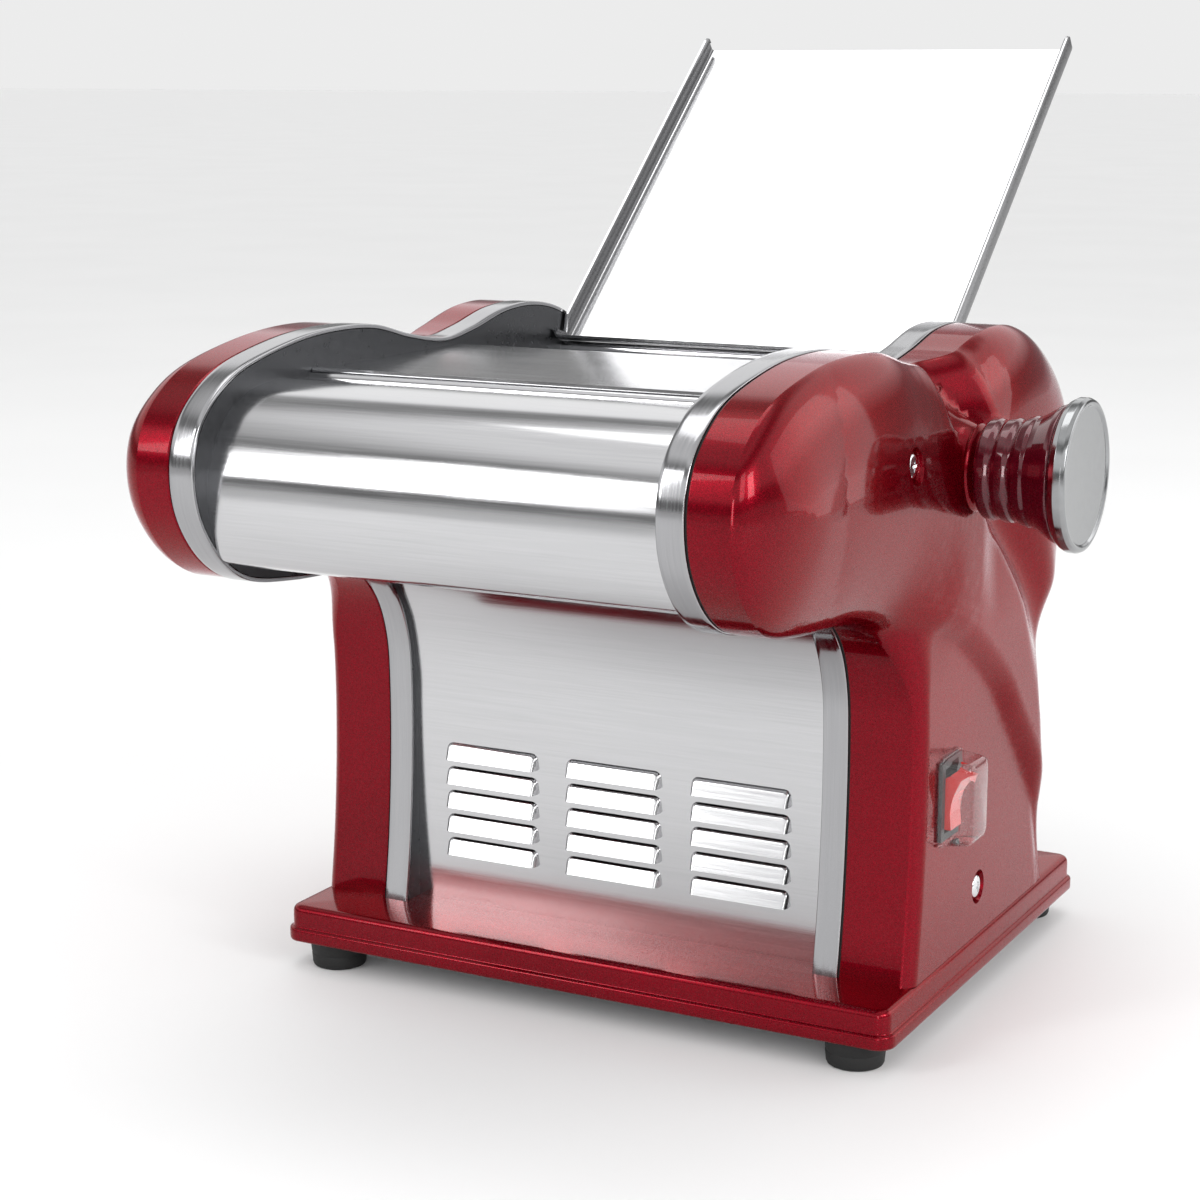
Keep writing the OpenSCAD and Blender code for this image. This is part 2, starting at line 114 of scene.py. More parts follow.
def metal(name, col, rough, streak=(4, 260, 260), amount=0.10, colvar=0.05, bmp=0.03, scale=1.0):
    """brushed or turned metal: fine streaks stretched along one axis, and slow smudges"""
    m, nt, b = new_mat(name)
    s = noise(nt, coords(nt, streak), 6.0 * scale, 3, 0.6)
    g = noise(nt, coords(nt), 9.0, 3, 0.55)
    mix = math_node(nt, "ADD", mrange(nt, s, 0.3, 0.7, -amount / 2, amount / 2), mrange(nt, g, 0.3, 0.7, rough - amount / 3, rough + amount / 3))
    nt.links.new(mix, b.inputs["Roughness"])
    dark = tuple(max(0, c * (1 - colvar)) for c in col)
    lite = tuple(min(1, c * (1 + colvar)) for c in col)
    nt.links.new(ramp(nt, s, [(0.3, dark), (0.7, lite)]), b.inputs["Base Color"])
    b.inputs["Metallic"].default_value = 1.0
    bump(nt, b, s, bmp, 0.0002)
    return m


def plastic(name, col, rough, var=0.15, tex=900.0, bmp=0.06, coat=0.0, metallic=0.0, spec=0.5, colscale=14.0, coat_rough=0.03, ior=1.5, coat_ior=1.5):
    m, nt, b = new_mat(name)
    v = coords(nt)
    g = noise(nt, v, colscale, 4, 0.55)
    f = noise(nt, v, tex, 2, 0.6)
    dark = tuple(c * (1 - var) for c in col)
    lite = tuple(min(1, c * (1 + var)) for c in col)
    nt.links.new(ramp(nt, g, [(0.32, dark), (0.68, lite)]), b.inputs["Base Color"])
    r = math_node(nt, "ADD", mrange(nt, f, 0.3, 0.7, -0.04, 0.04), mrange(nt, g, 0.3, 0.7, rough - 0.03, rough + 0.03))
    nt.links.new(r, b.inputs["Roughness"])
    b.inputs["Metallic"].default_value = metallic
    b.inputs["Specular IOR Level"].default_value = spec
    b.inputs["IOR"].default_value = ior
    b.inputs["Coat Weight"].default_value = coat
    b.inputs["Coat Roughness"].default_value = coat_rough
    b.inputs["Coat IOR"].default_value = coat_ior
    bump(nt, b, f, bmp, 0.0002)
    return m


def candy(name, deep, bright, rough=0.3, metallic=0.6, coat_ior=1.7):
    """deep candy lacquer: metallic flake under a clear coat"""
    m, nt, b = new_mat(name)
    v = coords(nt)
    flake = nt.nodes.new("ShaderNodeTexVoronoi")
    flake.inputs["Scale"].default_value = 2600.0
    nt.links.new(v, flake.inputs["Vector"])
    g = noise(nt, v, 7.0, 3, 0.5)
    peel = noise(nt, v, 120.0, 2, 0.5)
    fl = nt.nodes.new("ShaderNodeSeparateColor")
    nt.links.new(flake.outputs["Color"], fl.inputs[0])
    tot = math_node(nt, "ADD", mrange(nt, fl.outputs[0], 0, 1, -0.22, 0.22), mrange(nt, g, 0.3, 0.7, 0.35, 0.65))
    nt.links.new(ramp(nt, tot, [(0.1, deep), (0.9, bright)]), b.inputs["Base Color"])
    nt.links.new(mrange(nt, fl.outputs[1], 0, 1, rough - 0.06, rough + 0.08), b.inputs["Roughness"])
    b.inputs["Metallic"].default_value = metallic
    b.inputs["Coat Weight"].default_value = 1.0
    b.inputs["Coat Roughness"].default_value = 0.06
    b.inputs["Specular IOR Level"].default_value = 0.12
    b.inputs["Specular Tint"].default_value = (0.80, 0.30, 0.36, 1)
    b.inputs["Coat IOR"].default_value = coat_ior
    bump(nt, b, peel, 0.025, 0.0004)
    return m


MAT = {}
MAT["red"] = candy("candy_red", (0.098, 0.0002, 0.003), (0.26, 0.0006, 0.010), rough=0.25, metallic=0.74, coat_ior=1.22)
MAT["plum"] = candy("plum_plastic", (0.050, 0.001, 0.005), (0.12, 0.003, 0.012), rough=0.22, metallic=0.35, coat_ior=1.5)
MAT["steel"] = metal("polished_steel", (0.53, 0.53, 0.54), 0.15, amount=0.08)
MAT["band"] = metal("band_steel", (0.36, 0.36, 0.37), 0.14, streak=(260, 5, 5), amount=0.10)
MAT["tray"] = metal("tray_steel", (0.70, 0.70, 0.71), 0.18, streak=(260, 6, 6), amount=0.08)
MAT["plate"] = metal("dark_side_plate", (0.085, 0.087, 0.092), 0.34, streak=(50, 50, 50), amount=0.14)
MAT["grey"] = metal("satin_grey_steel", (0.30, 0.305, 0.32), 0.38, streak=(60, 60, 60), amount=0.16)
MAT["turned"] = metal("turned_steel", (0.66, 0.66, 0.67), 0.24, streak=(700, 6, 6), amount=0.14, bmp=0.05)
# painted dark reflection: a darker steel for the tray flange's side faces, standing in for the dark surroundings they
# mirror
MAT["flange"] = metal("tray_flange_painted_dark_reflection", (0.20, 0.20, 0.205), 0.30, streak=(8, 200, 200), amount=0.12)
MAT["chrome"] = metal("satin_chrome", (0.30, 0.305, 0.31), 0.14, streak=(40, 40, 40), amount=0.08)
MAT["bright"] = metal("bright_chrome", (0.78, 0.79, 0.80), 0.07, streak=(40, 40, 40), amount=0.04)
MAT["bronze"] = metal("sintered_bronze", (0.60, 0.42, 0.20), 0.38, streak=(300, 300, 300), amount=0.18, bmp=0.12)
MAT["cast"] = metal("die_cast", (0.55, 0.55, 0.57), 0.46, streak=(220, 220, 220), amount=0.18, bmp=0.2)
MAT["motor"] = plastic("motor_paint", (0.045, 0.05, 0.055), 0.42, tex=700, bmp=0.15)
MAT["rubber"] = plastic("black_rubber", (0.012, 0.012, 0.012), 0.62, tex=1400, bmp=0.2, spec=0.35)
MAT["nylon"] = plastic("natural_nylon", (0.74, 0.71, 0.60), 0.40, var=0.06, tex=900, bmp=0.05)
MAT["white"] = plastic("capacitor_white", (0.80, 0.80, 0.77), 0.30, var=0.04)
MAT["black"] = plastic("black_plastic", (0.015, 0.015, 0.016), 0.38, tex=1600, bmp=0.15)
MAT["rocker"] = plastic("red_rocker", (0.62, 0.015, 0.012), 0.22, var=0.12, tex=400, bmp=0.02, coat=0.6)


def clear_vinyl():
    m, nt, b = new_mat("clear_vinyl")
    v = coords(nt)
    g = noise(nt, v, 60.0, 3, 0.5)
    nt.links.new(mrange(nt, g, 0.3, 0.7, 0.02, 0.07), b.inputs["Roughness"])
    nt.links.new(ramp(nt, g, [(0.3, (0.93, 0.93, 0.93)), (0.7, (1.0, 1.0, 1.0))]), b.inputs["Base Color"])
    b.inputs["Transmission Weight"].default_value = 0.97
    b.inputs["IOR"].default_value = 1.10
    b.inputs["Coat Weight"].default_value = 1.0
    b.inputs["Coat Roughness"].default_value = 0.05
    b.inputs["Coat IOR"].default_value = 1.5
    bump(nt, b, g, 0.08, 0.0005)
    return m


MAT["clear"] = clear_vinyl()


# ------------------------------------------------------------------ mesh tools
def make(name, verts, faces, mat, body, replaces=(), slot=None, normals=None, sharp=32.0, smooth=True):
    me = bpy.data.meshes.new(name)
    me.from_pydata([P(*v) for v in verts], [], faces)
    me.validate()
    ob = bpy.data.objects.new(name, me)
    bpy.context.scene.collection.objects.link(ob)
    me.materials.append(mat)
    if normals is None:
        bm = bmesh.new()
        bm.from_mesh(me)
        bmesh.ops.remove_doubles(bm, verts=bm.verts, dist=1e-6)
        bmesh.ops.recalc_face_normals(bm, faces=bm.faces)
        bm.to_mesh(me)
        bm.free()
    if smooth:
        for p in me.polygons:
            p.use_smooth = True
        if normals is None:
            me.set_sharp_from_angle(angle=math.radians(sharp))
    if normals is not None:
        me.normals_split_custom_set_from_vertices([tuple(n) for n in normals])
    me.update()
    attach(ob, body)
    if replaces:
        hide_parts(*replaces)
    return ob


def cr_path(p, n):
    p = np.array(p, float)
    m = len(p) - 1
    out = []
    for i in range(m):
        a, b, c, d = p[max(i - 1, 0)], p[i], p[i + 1], p[min(i + 2, m)]
        for k in range(n):
            t = k / n
            out.append(0.5 * (2 * b + (c - a) * t + (2 * a - 5 * b + 4 * c - d) * t * t + (3 * b - a - 3 * c + d) * t ** 3))
    out.append(p[m])
    return np.array(out)


def dirs(p):
    d = np.zeros_like(p)
    d[1:-1] = p[2:] - p[:-2]
    d[0] = p[1] - p[0]
    d[-1] = p[-1] - p[-2]
    return d / np.linalg.norm(d, axis=1)[:, None]


def lefts(p):
    d = dirs(p)
    return np.stack([-d[:, 1], d[:, 0]], 1)


def sweep(name, path, section, mat, body, **kw):
    """path: open 2d list (y,z) with inward normals; section: closed list of (x, inset)"""
    path = np.array(path, float)
    nrm = -lefts(path)
    foot = path[0][1] < 30
    if foot:
        nrm[0] = (1, 0)
        nrm[-1] = (-1, 0)
    n, k = len(path), len(section)
    V = []
    for i in range(n):
        for x, d in section:
            q = path[i] + nrm[i] * d
            V.append((x, q[0], q[1]))
    F = []
    for i in range(n - 1):
        for j in range(k):
            a, b = i * k + j, i * k + (j + 1) % k
            F.append((a, b, b + k, a + k))
    F.append(tuple(range(k)))
    F.append(tuple((n - 1) * k + j for j in reversed(range(k))))
    return make(name, V, F, mat, body, **kw)


def skin(name, path, t, x0, x1, mat, body, nsub=6, smooth_path=True, nx=1, **kw):
    """sheet metal bent along a path and extruded along X; thickness t to the left of the path"""
    p = cr_path(path, nsub) if smooth_path else np.array(path, float)
    L = lefts(p)
    q = p + L * t
    e = 0.25
    d = dirs(p)
    start = [q[0] - L[0] * e, q[0] - d[0] * 0 + 0, p[0]]
    poly = list(p) + [p[-1] + L[-1] * t * 0.5 + d[-1] * t * 0.35] + list(q[::-1]) + [p[0] + L[0] * t * 0.5 - d[0] * t * 0.35]
    k = len(poly)
    xs = np.linspace(x0, x1, nx + 1)
    V, F = [], []
    for x in xs:
        for a in poly:
            V.append((x, a[0], a[1]))
    for i in range(nx):
        for j in range(k):
            a, b = i * k + j, i * k + (j + 1) % k
            F.append((a, b, b + k, a + k))
    np_ = len(p)
    for base, rev in ((0, False), (nx * k, True)):
        for j in range(np_ - 1):
            a, b = base + j, base + j + 1
            c, dd = base + k - 2 - j, base + k - 3 - j
            f = (a, b, dd, c)
            F.append(f if rev else f[::-1])
        F.append((base + np_ - 1, base + np_, base + np_ + 1))
        F.append((base + 0, base + k - 1, base + k - 2))
    return make(name, V, F, mat, body, **kw)


def lathe_data(profile, c, seg=96):
    """profile: list of (x, r); closed about the X axis through c"""
    V, F = [], []
    idx = []
    for x, r in profile:
        if r <= 1e-6:
            idx.append([len(V)])
            V.append((x, c[0], c[1]))
        else:
            row = []
            for j in range(seg):
                a = 2 * math.pi * j / seg
                row.append(len(V))
                V.append((x, c[0] + r * math.cos(a), c[1] + r * math.sin(a)))
            idx.append(row)
    for a, b in zip(idx[:-1], idx[1:]):
        if len(a) == 1 and len(b) == 1:
            continue
        for j in range(seg):
            j2 = (j + 1) % seg
            if len(a) == 1:
                F.append((a[0], b[j], b[j2]))
            elif len(b) == 1:
                F.append((a[j], b[0], a[j2]))
            else:
                F.append((a[j], b[j], b[j2], a[j2]))
    return V, F


def fillet(profile, r, n=5, closed=False):
    """rounds the corners of a polyline of (a, b) points"""
    p = [np.array(q, float) for q in profile]
    out = []
    m = len(p)
    for i in range(m):
        if not closed and i in (0, m - 1):
            out.append(tuple(p[i]))
            continue
        a, b, c = p[i - 1], p[i], p[(i + 1) % m]
        la, lc = np.linalg.norm(a - b), np.linalg.norm(c - b)
        ua, uc = (a - b) / la, (c - b) / lc
        ang = math.acos(max(-1, min(1, float(ua @ uc))))
        if ang > math.radians(172):
            out.append(tuple(b))
            continue
        t = min(r / math.tan(ang / 2), la * 0.45, lc * 0.45)
        A, C = b + ua * t, b + uc * t
        for k in range(n + 1):
            s = k / n
            q = (1 - s) ** 2 * A + 2 * s * (1 - s) * b + s * s * C
            out.append(tuple(q))
    return out


def rot_merge(parts):
    V, F = [], []
    for v, f in parts:
        o = len(V)
        V += v
        F += [tuple(i + o for i in q) for q in f]
    return V, F


# ------------------------------------------------------------------ side outline
side = [[-90, 28], [-86, 58], [-83.5, 92], [-83, 125], [-85, 148],
        [-93, 167], [-108, 180], [-134, 186], [-170, 189], [-200, 194],
        [-219, 205], [-232, 222], [-236, 240], [-232, 257], [-220, 270],
        [-200, 280], [-165, 287], [-135, 289], [-106, 287.5], [-78, 281],
        [-50, 277], [-25, 280], [5, 286], [35, 286], [62, 279], [88, 263],
        [104, 240], [108, 216], [100, 192], [82, 174], [64, 156], [56, 134],
        [60, 104], [70, 70], [84, 28]]
OUT = cr_path(side, 8)
OUTN = -lefts(OUT)
OUTN[0] = (1, 0)
OUTN[-1] = (-1, 0)
for i in range(1, 7):                       # ease the inward normal into the flat foot
    w = i / 7
    for a, s in ((i, 1), (len(OUT) - 1 - i, -1)):
        v = OUTN[a] * w + np.array((s, 0)) * (1 - w)
        OUTN[a] = v / np.linalg.norm(v)
hb, band_w, cf, cx = 98.5, 11.0, 142.0, 145.0
c0 = hb + band_w + 0.8
Kc = (-45.0, 236.0)
SWc = (-53.0, 100.0)


def band_section(s):
    x0, x1 = hb, hb + band_w
    sec = [(x0, 1.6), (x0, 0.55), (x0 + 0.12, 0.2), (x0 + 0.45, 0.03), (x0 + 2, 0.0), (x1 - 2, 0.0), (x1 - 0.45, 0.03), (x1 - 0.12, 0.2), (x1, 0.55), (x1, 1.6)]
    return [(s * a, b) for a, b in sec]


for nm, s in (("right", 1), ("left", -1)):
    sweep(f"{nm}_trim_band_fine", OUT, band_section(s), MAT["band"], "frame", replaces=[f"{nm}_trim_band"], slot="polished_steel", sharp=50)
    sec = [(s * (hb + band_w), 1.2), (s * (hb + band_w + 0.8), 1.2), (s * (hb + band_w + 0.8), 5.0), (s * (hb + band_w), 5.0)]
    sweep(f"{nm}_seal_fine", OUT, sec, MAT["rubber"], "frame", replaces=[f"{nm}_seal"], slot="black_rubber", sharp=40)


# ------------------------------------------------------------------ sculpted covers
def sstep(a, b, x):
    t = np.clip((x - a) / (b - a), 0, 1)
    return t * t * (3 - 2 * t)


def seg_dist(pts, line):
    """distance and position along a polyline, for every point, with the side of it"""
    a, b = line[:-1], line[1:]
    ab = b - a
    L = np.linalg.norm(ab, axis=1)
    cum = np.concatenate([[0], np.cumsum(L)])
    best = np.full(len(pts), 1e9)
    pos = np.zeros(len(pts))
    sgn = np.zeros(len(pts))
    for k in range(len(a)):
        ap = pts - a[k]
        t = np.clip((ap @ ab[k]) / (L[k] ** 2), 0, 1)
        q = ap - t[:, None] * ab[k]
        d = np.hypot(q[:, 0], q[:, 1])
        m = d < best
        best[m] = d[m]
        pos[m] = (cum[k] + t[m] * L[k]) / cum[-1]
        cr = ab[k][0] * ap[:, 1] - ab[k][1] * ap[:, 0]
        sgn[m] = np.sign(cr[m])
    return best, pos, sgn


VALLEY = cr_path([(-50, 292), (-46, 266), (-38, 240), (-14, 222), (8, 204), (30, 180), (47, 150), (58, 128)], 6)
CREASE = cr_path([(-112, 178), (-104, 178.5), (-82, 175), (-60, 168), (-41, 159), (-8, 137.5), (13, 117), (35, 94), (59, 65), (70, 36), (72, 28)], 6)


def height(p, right, flat=False):
    """reach of the cover's outer face from the mid plane at points p (y, z)"""
    y, z = p[:, 0], p[:, 1]
    d, _, _ = seg_dist(p, OUT)
    R = 7.5 + 9.5 * sstep(-30, 25, y) * (1 - sstep(130, 180, z)) + 11.5 * sstep(142, 182, z)
    X = np.full(len(p), cf - 0.1)
    dc, pc, sc = seg_dist(p, CREASE)
    sg = np.where(sc > 0, dc, -dc)
    up = 0.5 * (sg + np.sqrt(sg * sg + 1.7))        # a small radius at the foot of the step
    lift = (7.2 if right else 3.0) * (0.3 + 0.7 * sstep(0.0, 0.30, pc)) * (1 - 0.5 * sstep(0.75, 1.0, pc))
    t = np.clip(up / 10, 0, 1)
    X = X + lift * (1 - (1 - t) ** 1.8)
    # front and rear lobes are pillowed
    lobe = sstep(168, 205, z)
    X = X + lobe * (3.2 if right else 1.4) * (1 - sstep(0, 0.3, pc))
    X = X - (0.6 + 0.6 * lobe) * (1 - sstep(0, 46, d)) * sstep(150, 190, z)
    rl = np.hypot(y + 84, z - 236)
    X = X - 2.0 * np.clip(rl / 80, 0, 1.1) ** 2 * sstep(150, 200, z) * (1 - sstep(-78, -50, y))
    rr_ = np.hypot(y - 32, z - 236)
    X = X - 3.0 * np.clip(rr_ / 70, 0, 1.15) ** 2 * sstep(165, 205, z) * sstep(-40, -15, y)
    # valley between the two lobes
    dv, pv, sv = seg_dist(p, VALLEY)
    w = np.where(sv > 0, 27.0, 21.0) if right else np.full(len(p), 33.0)        # behind, in front
    depth = (12.5 if right else 6.5) * (1 - sstep(0.45, 1.0, pv) * (0.75 if right else 1.0))
    g = np.where(dv < w, (1 + np.cos(np.pi * np.minimum(dv / w, 1))) / 2, 0)
    X = X - depth * g
    fr = 1 - sstep(-75, -35, y)
    D = R * (1 + sstep(165, 205, z) * ((1.15 + 1.1 * fr) if right else (1.0 - 0.8 * fr)))     # the lobes round off slowly
    q = np.clip(D - d, 0, D) / D
    X = X - R * (1 - np.sqrt(np.maximum(1 - q * q, 0)))
    if not right:                   # a shallow seat for the upper screw
        X = X - 2.9 * (1 - sstep(7, 32, np.hypot(y + 104, z - 268)))
    if right:
        r = np.hypot(y - Kc[0], z - Kc[1])
        t = np.clip((r - 17.2) / 13.5, 0, 1)
        B = np.where(r < 31, 147.0 - 17 * (1 - (1 - t) ** 2.4), 0)
        k = 2.2
        h = np.clip(0.5 + 0.5 * (B - X) / k, 0, 1)
        X = X * (1 - h) + B * h + k * h * (1 - h)
    return X


def circle_pts(c, r, n):
    return [(c[0] + r * math.cos(2 * math.pi * i / n), c[1] + r * math.sin(2 * math.pi * i / n)) for i in range(n)]


def rrect(cx_, cz_, w, h, r, n=5):
    pts = []
    for sx, sz, a0 in ((1, 1, 0), (-1, 1, 90), (-1, -1, 180), (1, -1, 270)):
        for k in range(n + 1):
            a = math.radians(a0 + 90 * k / n)
            pts.append((cx_ + sx * (w / 2 - r) + r * math.cos(a), cz_ + sz * (h / 2 - r) + r * math.sin(a)))
    return pts


def cover(name, right, node):
    N = len(OUT)
    base = OUT + OUTN * 0.4
    th = np.radians([0, 4, 9, 15, 22, 30, 38, 46, 54, 62, 70, 78, 86, 96, 110])
    rings = []
    Rb = 7.5 + 9.5 * sstep(-30, 25, OUT[:, 0]) * (1 - sstep(130, 180, OUT[:, 1])) + 11.5 * sstep(142, 182, OUT[:, 1])
    for a in th:
        dd = Rb * (1 - math.cos(min(a, math.pi / 2))) + (Rb * 0.12 * max(0, (a - math.pi / 2) / 0.1745))
        q = OUT + OUTN * (0.4 + dd)[:, None]
        q[0, 1] = q[-1, 1] = 28
        rings.append(q)
    # keep the foot straight
    for q in rings:
        q[:, 1] = np.maximum(q[:, 1], 28)
    screws = [((-109, 245), 142.5) if right else ((-104, 268), 139.5), ((-12, 49.5), 139.5)]
    loops, holes = [], []
    last = rings[-1]
    inner_loop = [tuple(v) for v in last]
    loops.append(inner_loop)
    nb = 26
    bottom = [(last[-1][0] + (last[0][0] - last[-1][0]) * i / nb, 28.0) for i in range(1, nb)]
    boundary = inner_loop + bottom
    pts = [tuple(v) for v in boundary]
    edges = [(i, (i + 1) % len(boundary)) for i in range(len(boundary))]

    def add_loop(l):
        o = len(pts)
        pts.extend(l)
        edges.extend((o + i, o + (i + 1) % len(l)) for i in range(len(l)))
        return o

    feats = []
    for (c, xf) in screws:
        for r in (7.4, 6.6):
            l = circle_pts(c, r, 40)
            add_loop(l)
            feats.append(l)
    if right:
        for r in (16.4, 17.2, 18.4, 20, 22, 24.5, 27.5, 31):
            l = circle_pts(Kc, r, 84)
            add_loop(l)
            feats.append(l)
        l = rrect(SWc[0], SWc[1], 21.2, 30.2, 1.0, 3)
        add_loop(l)
        feats.append(l)
    crease = [tuple(v) for v in CREASE if v[1] > 29]
    cl = lefts(np.array(crease))
    inp = np.array(boundary)

    def inside(q, poly):
        q = np.atleast_2d(np.array(q, float))
        pa = np.array(poly)
        pb = np.roll(pa, 1, axis=0)
        c = np.zeros(len(q), bool)
        for k in range(len(pa)):
            y1, y2 = pa[k][1], pb[k][1]
            if y1 == y2:
                continue
            m = (y1 > q[:, 1]) != (y2 > q[:, 1])
            m &= q[:, 0] < (pb[k][0] - pa[k][0]) * (q[:, 1] - y1) / (y2 - y1) + pa[k][0]
            c ^= m
        return c

    extra = []
    bl = [tuple(v) for v in inp]
    for off in (0.0, 0.9, -0.9, 2.4, 4.6, 7.4, 10.8, 15.0):
        arr = np.array(crease) + cl * off
        arr = cr_path(arr, 1)
        for v in arr:
            extra.append(tuple(v))
    g = 3.1
    ys = np.arange(-232, 110, g)
    zs = np.arange(29.5, 290, g * 0.87)
    for jz, zz in enumerate(zs):
        for yy in ys:
            extra.append((yy + (g / 2 if jz % 2 else 0), zz))
    allf = np.array([v for l in feats for v in l] + bl)
    E = np.array(extra)
    ng = len(ys) * len(zs)
    lim = np.where(np.arange(len(E)) < len(E) - ng, 1.0, 1.7)
    near = np.array([np.min((allf[:, 0] - v[0]) ** 2 + (allf[:, 1] - v[1]) ** 2) for v in E])
    ok = (near > lim ** 2) & inside(E, bl)
    if right:
        rk = np.hypot(E[:, 0] - Kc[0], E[:, 1] - Kc[1])
        ok &= ~((rk < 31.5) & (rk > 16))
    first = E[: len(E) - ng][ok[: len(E) - ng]]
    # the offset lines of the crease keep their own distance
    keep1 = []
    for v in first:
        if not keep1 or min((v[0] - w[0]) ** 2 + (v[1] - w[1]) ** 2 for w in keep1) > 0.8 ** 2:
            keep1.append(v)
    A = np.array(keep1)
    second = E[len(E) - ng:][ok[len(E) - ng:]]
    nn = np.array([np.min((A[:, 0] - v[0]) ** 2 + (A[:, 1] - v[1]) ** 2) for v in second])
    fin = [tuple(v) for v in keep1] + [tuple(v) for v in second[nn > 1.6 ** 2]]
    pts.extend(fin)
    res = delaunay_2d_cdt([Vector(q) for q in pts], edges, [], 0, 1e-4)
    cv, cfaces = res[0], res[2]
    co = np.array([(v[0], v[1]) for v in cv])
    faces2 = []
    mids = np.array([co[list(f)].mean(0) for f in cfaces])
    isin = inside(mids, bl)
    for f, m, i_ in zip(cfaces, mids, isin):
        if not i_:
            continue
        if right and math.hypot(m[0] - Kc[0], m[1] - Kc[1]) < 16.4:
            continue
        if right and abs(m[0] - SWc[0]) < 10.6 and abs(m[1] - SWc[1]) < 15.1:
            continue
        faces2.append(tuple(f))
    used = sorted(set(i for f in faces2 for i in f))
    remap = {o: n for n, o in enumerate(used)}
    co = co[used]
    faces2 = [tuple(remap[i] for i in f) for f in faces2]
    # all the outer surface's points: rings, then the inner field
    ringpts = np.concatenate(rings[:-1])
    allp = np.concatenate([ringpts, co])
    X = height(allp, right)
    e = 0.3
    gy = (height(allp + [e, 0], right) - height(allp - [e, 0], right)) / (2 * e)
    gz = (height(allp + [0, e], right) - height(allp - [0, e], right)) / (2 * e)
    nrm = np.stack([np.ones(len(allp)), -gy, -gz], 1)
    nrm /= np.linalg.norm(nrm, axis=1)[:, None]
    nr = len(ringpts)
    for i in range(N):
        nrm[i] = (0.0, -OUTN[i][0], -OUTN[i][1])
    # match the inner field's first boundary with the last ring
    lastidx = [nr + int(np.argmin(np.hypot(co[:, 0] - v[0], co[:, 1] - v[1]))) for v in rings[-1]]
    F = []
    J = len(rings)
    for j in range(J - 1):
        for i in range(N - 1):
            a, b = j * N + i, j * N + i + 1
            if j == J - 2:
                c, d_ = lastidx[i + 1], lastidx[i]
            else:
                c, d_ = (j + 1) * N + i + 1, (j + 1) * N + i
            F.append((d_, c, b, a))
    F += [tuple(int(nr + i) for i in f) for f in faces2]
    V = [(X[i], allp[i][0], allp[i][1]) for i in range(len(allp))]
    # side wall down to the seal
    W = [(c0 + 0.7, 0.4), (c0 + 0.25, 0.52), (c0, 0.9)]
    prev = list(range(N))
    nl = list(map(tuple, nrm))
    for xw, ins in W:
        row = []
        for i in range(N):
            q = OUT[i] + OUTN[i] * ins
            if i in (0, N - 1):
                q = np.array((q[0], 28.0))
            row.append(len(V))
            V.append((xw, q[0], q[1]))
            nl.append((0.0 if ins < 0.5 else -0.5, -OUTN[i][0], -OUTN[i][1]))
        for i in range(N - 1):
            F.append((row[i + 1], row[i], prev[i], prev[i + 1]))
        prev = row
    # screw recesses
    V = [list(v) for v in V]
    for (c, xf) in screws:
        for i in range(nr, len(allp)):
            r = math.hypot(V[i][1] - c[0], V[i][2] - c[1])
            if r < 6.9:
                V[i][0] = xf
                nl[i] = (1.0, 0.0, 0.0)
    me_n = np.array(nl, float)
    me_n /= np.linalg.norm(me_n, axis=1)[:, None]
    # inner face: the same surface moved in by the wall thickness
    t = 2.4
    Vo = np.array(V, float)
    Vi = Vo - me_n * t
    # the wall's open rim and the foot stay in their planes
    Vi[:, 0] = np.maximum(Vi[:, 0], c0)
    foot = np.abs(Vo[:, 2] - 28.0) < 1e-6
    Vi[foot, 2] = 28.0
    Vi[:, 2] = np.maximum(Vi[:, 2], 28.0)
    M = len(Vo)
    Fi = [tuple(M + i for i in reversed(f)) for f in F]
    cnt = {}
    for f in F:
        for a, b in zip(f, f[1:] + f[:1]):
            cnt[(a, b)] = 1
    rim = [(a, b) for (a, b) in cnt if (b, a) not in cnt]
    Fr = [(b, a, a + M, b + M) for a, b in rim]
    V2 = np.concatenate([Vo, Vi])
    N2 = np.concatenate([me_n, -me_n])
    F2 = F + Fi + Fr
    if not right:
        V2[:, 0] *= -1
        N2[:, 0] *= -1
        F2 = [tuple(reversed(f)) for f in F2]
    me = bpy.data.meshes.new(name)
    me.from_pydata([P(*v) for v in V2], [], F2)
    ob = bpy.data.objects.new(name, me)
    bpy.context.scene.collection.objects.link(ob)
    me.materials.append(MAT["red"])
    for p in me.polygons:
        p.use_smooth = True
    # normals: analytic on the outer face, flat on the rims and recess walls
    ln = []
    flat_f = set()
    nF = len(F)
    for k, p in enumerate(me.polygons):
        isflat = k >= 2 * nF
        if not isflat and k < nF:
            for (c, xf) in screws:
                vs = [V[i] for i in F[k]]
                rr = [math.hypot(v[1] - c[0], v[2] - c[1]) for v in vs]
                if min(rr) < 7.0 and max(rr) > 7.0 and max(rr) < 7.9:
                    isflat = True
        for li in p.loop_indices:
            vi = me.loops[li].vertex_index
            ln.append(tuple(p.normal) if isflat else tuple(N2[vi]))
    me.normals_split_custom_set(ln)
    me.update()
    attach(ob, "frame")
    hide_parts(node)
    return ob


cover("right_cover_shell", True, "right_cover")
cover("left_cover_shell", False, "left_cover")

# ------------------------------------------------------------------ base plinth
def ringstack(name, shape, stack, mat, body, cap_first=True, cap_last=True, **kw):
    """shape(inset) -> closed list of (x, y); stack: list of (inset, z)"""
    V, F = [], []
    rows = []
    for ins, z in stack:
        pts = shape(ins)
        rows.append(list(range(len(V), len(V) + len(pts))))
        V += [(a, b, z) for a, b in pts]
    for a, b in zip(rows[:-1], rows[1:]):
        n = len(a)
        for j in range(n):
            F.append((a[j], a[(j + 1) % n], b[(j + 1) % n], b[j]))
    if cap_first:
        F.append(tuple(reversed(rows[0])))
    if cap_last:
        F.append(tuple(rows[-1]))
    return make(name, V, F, mat, body, **kw)


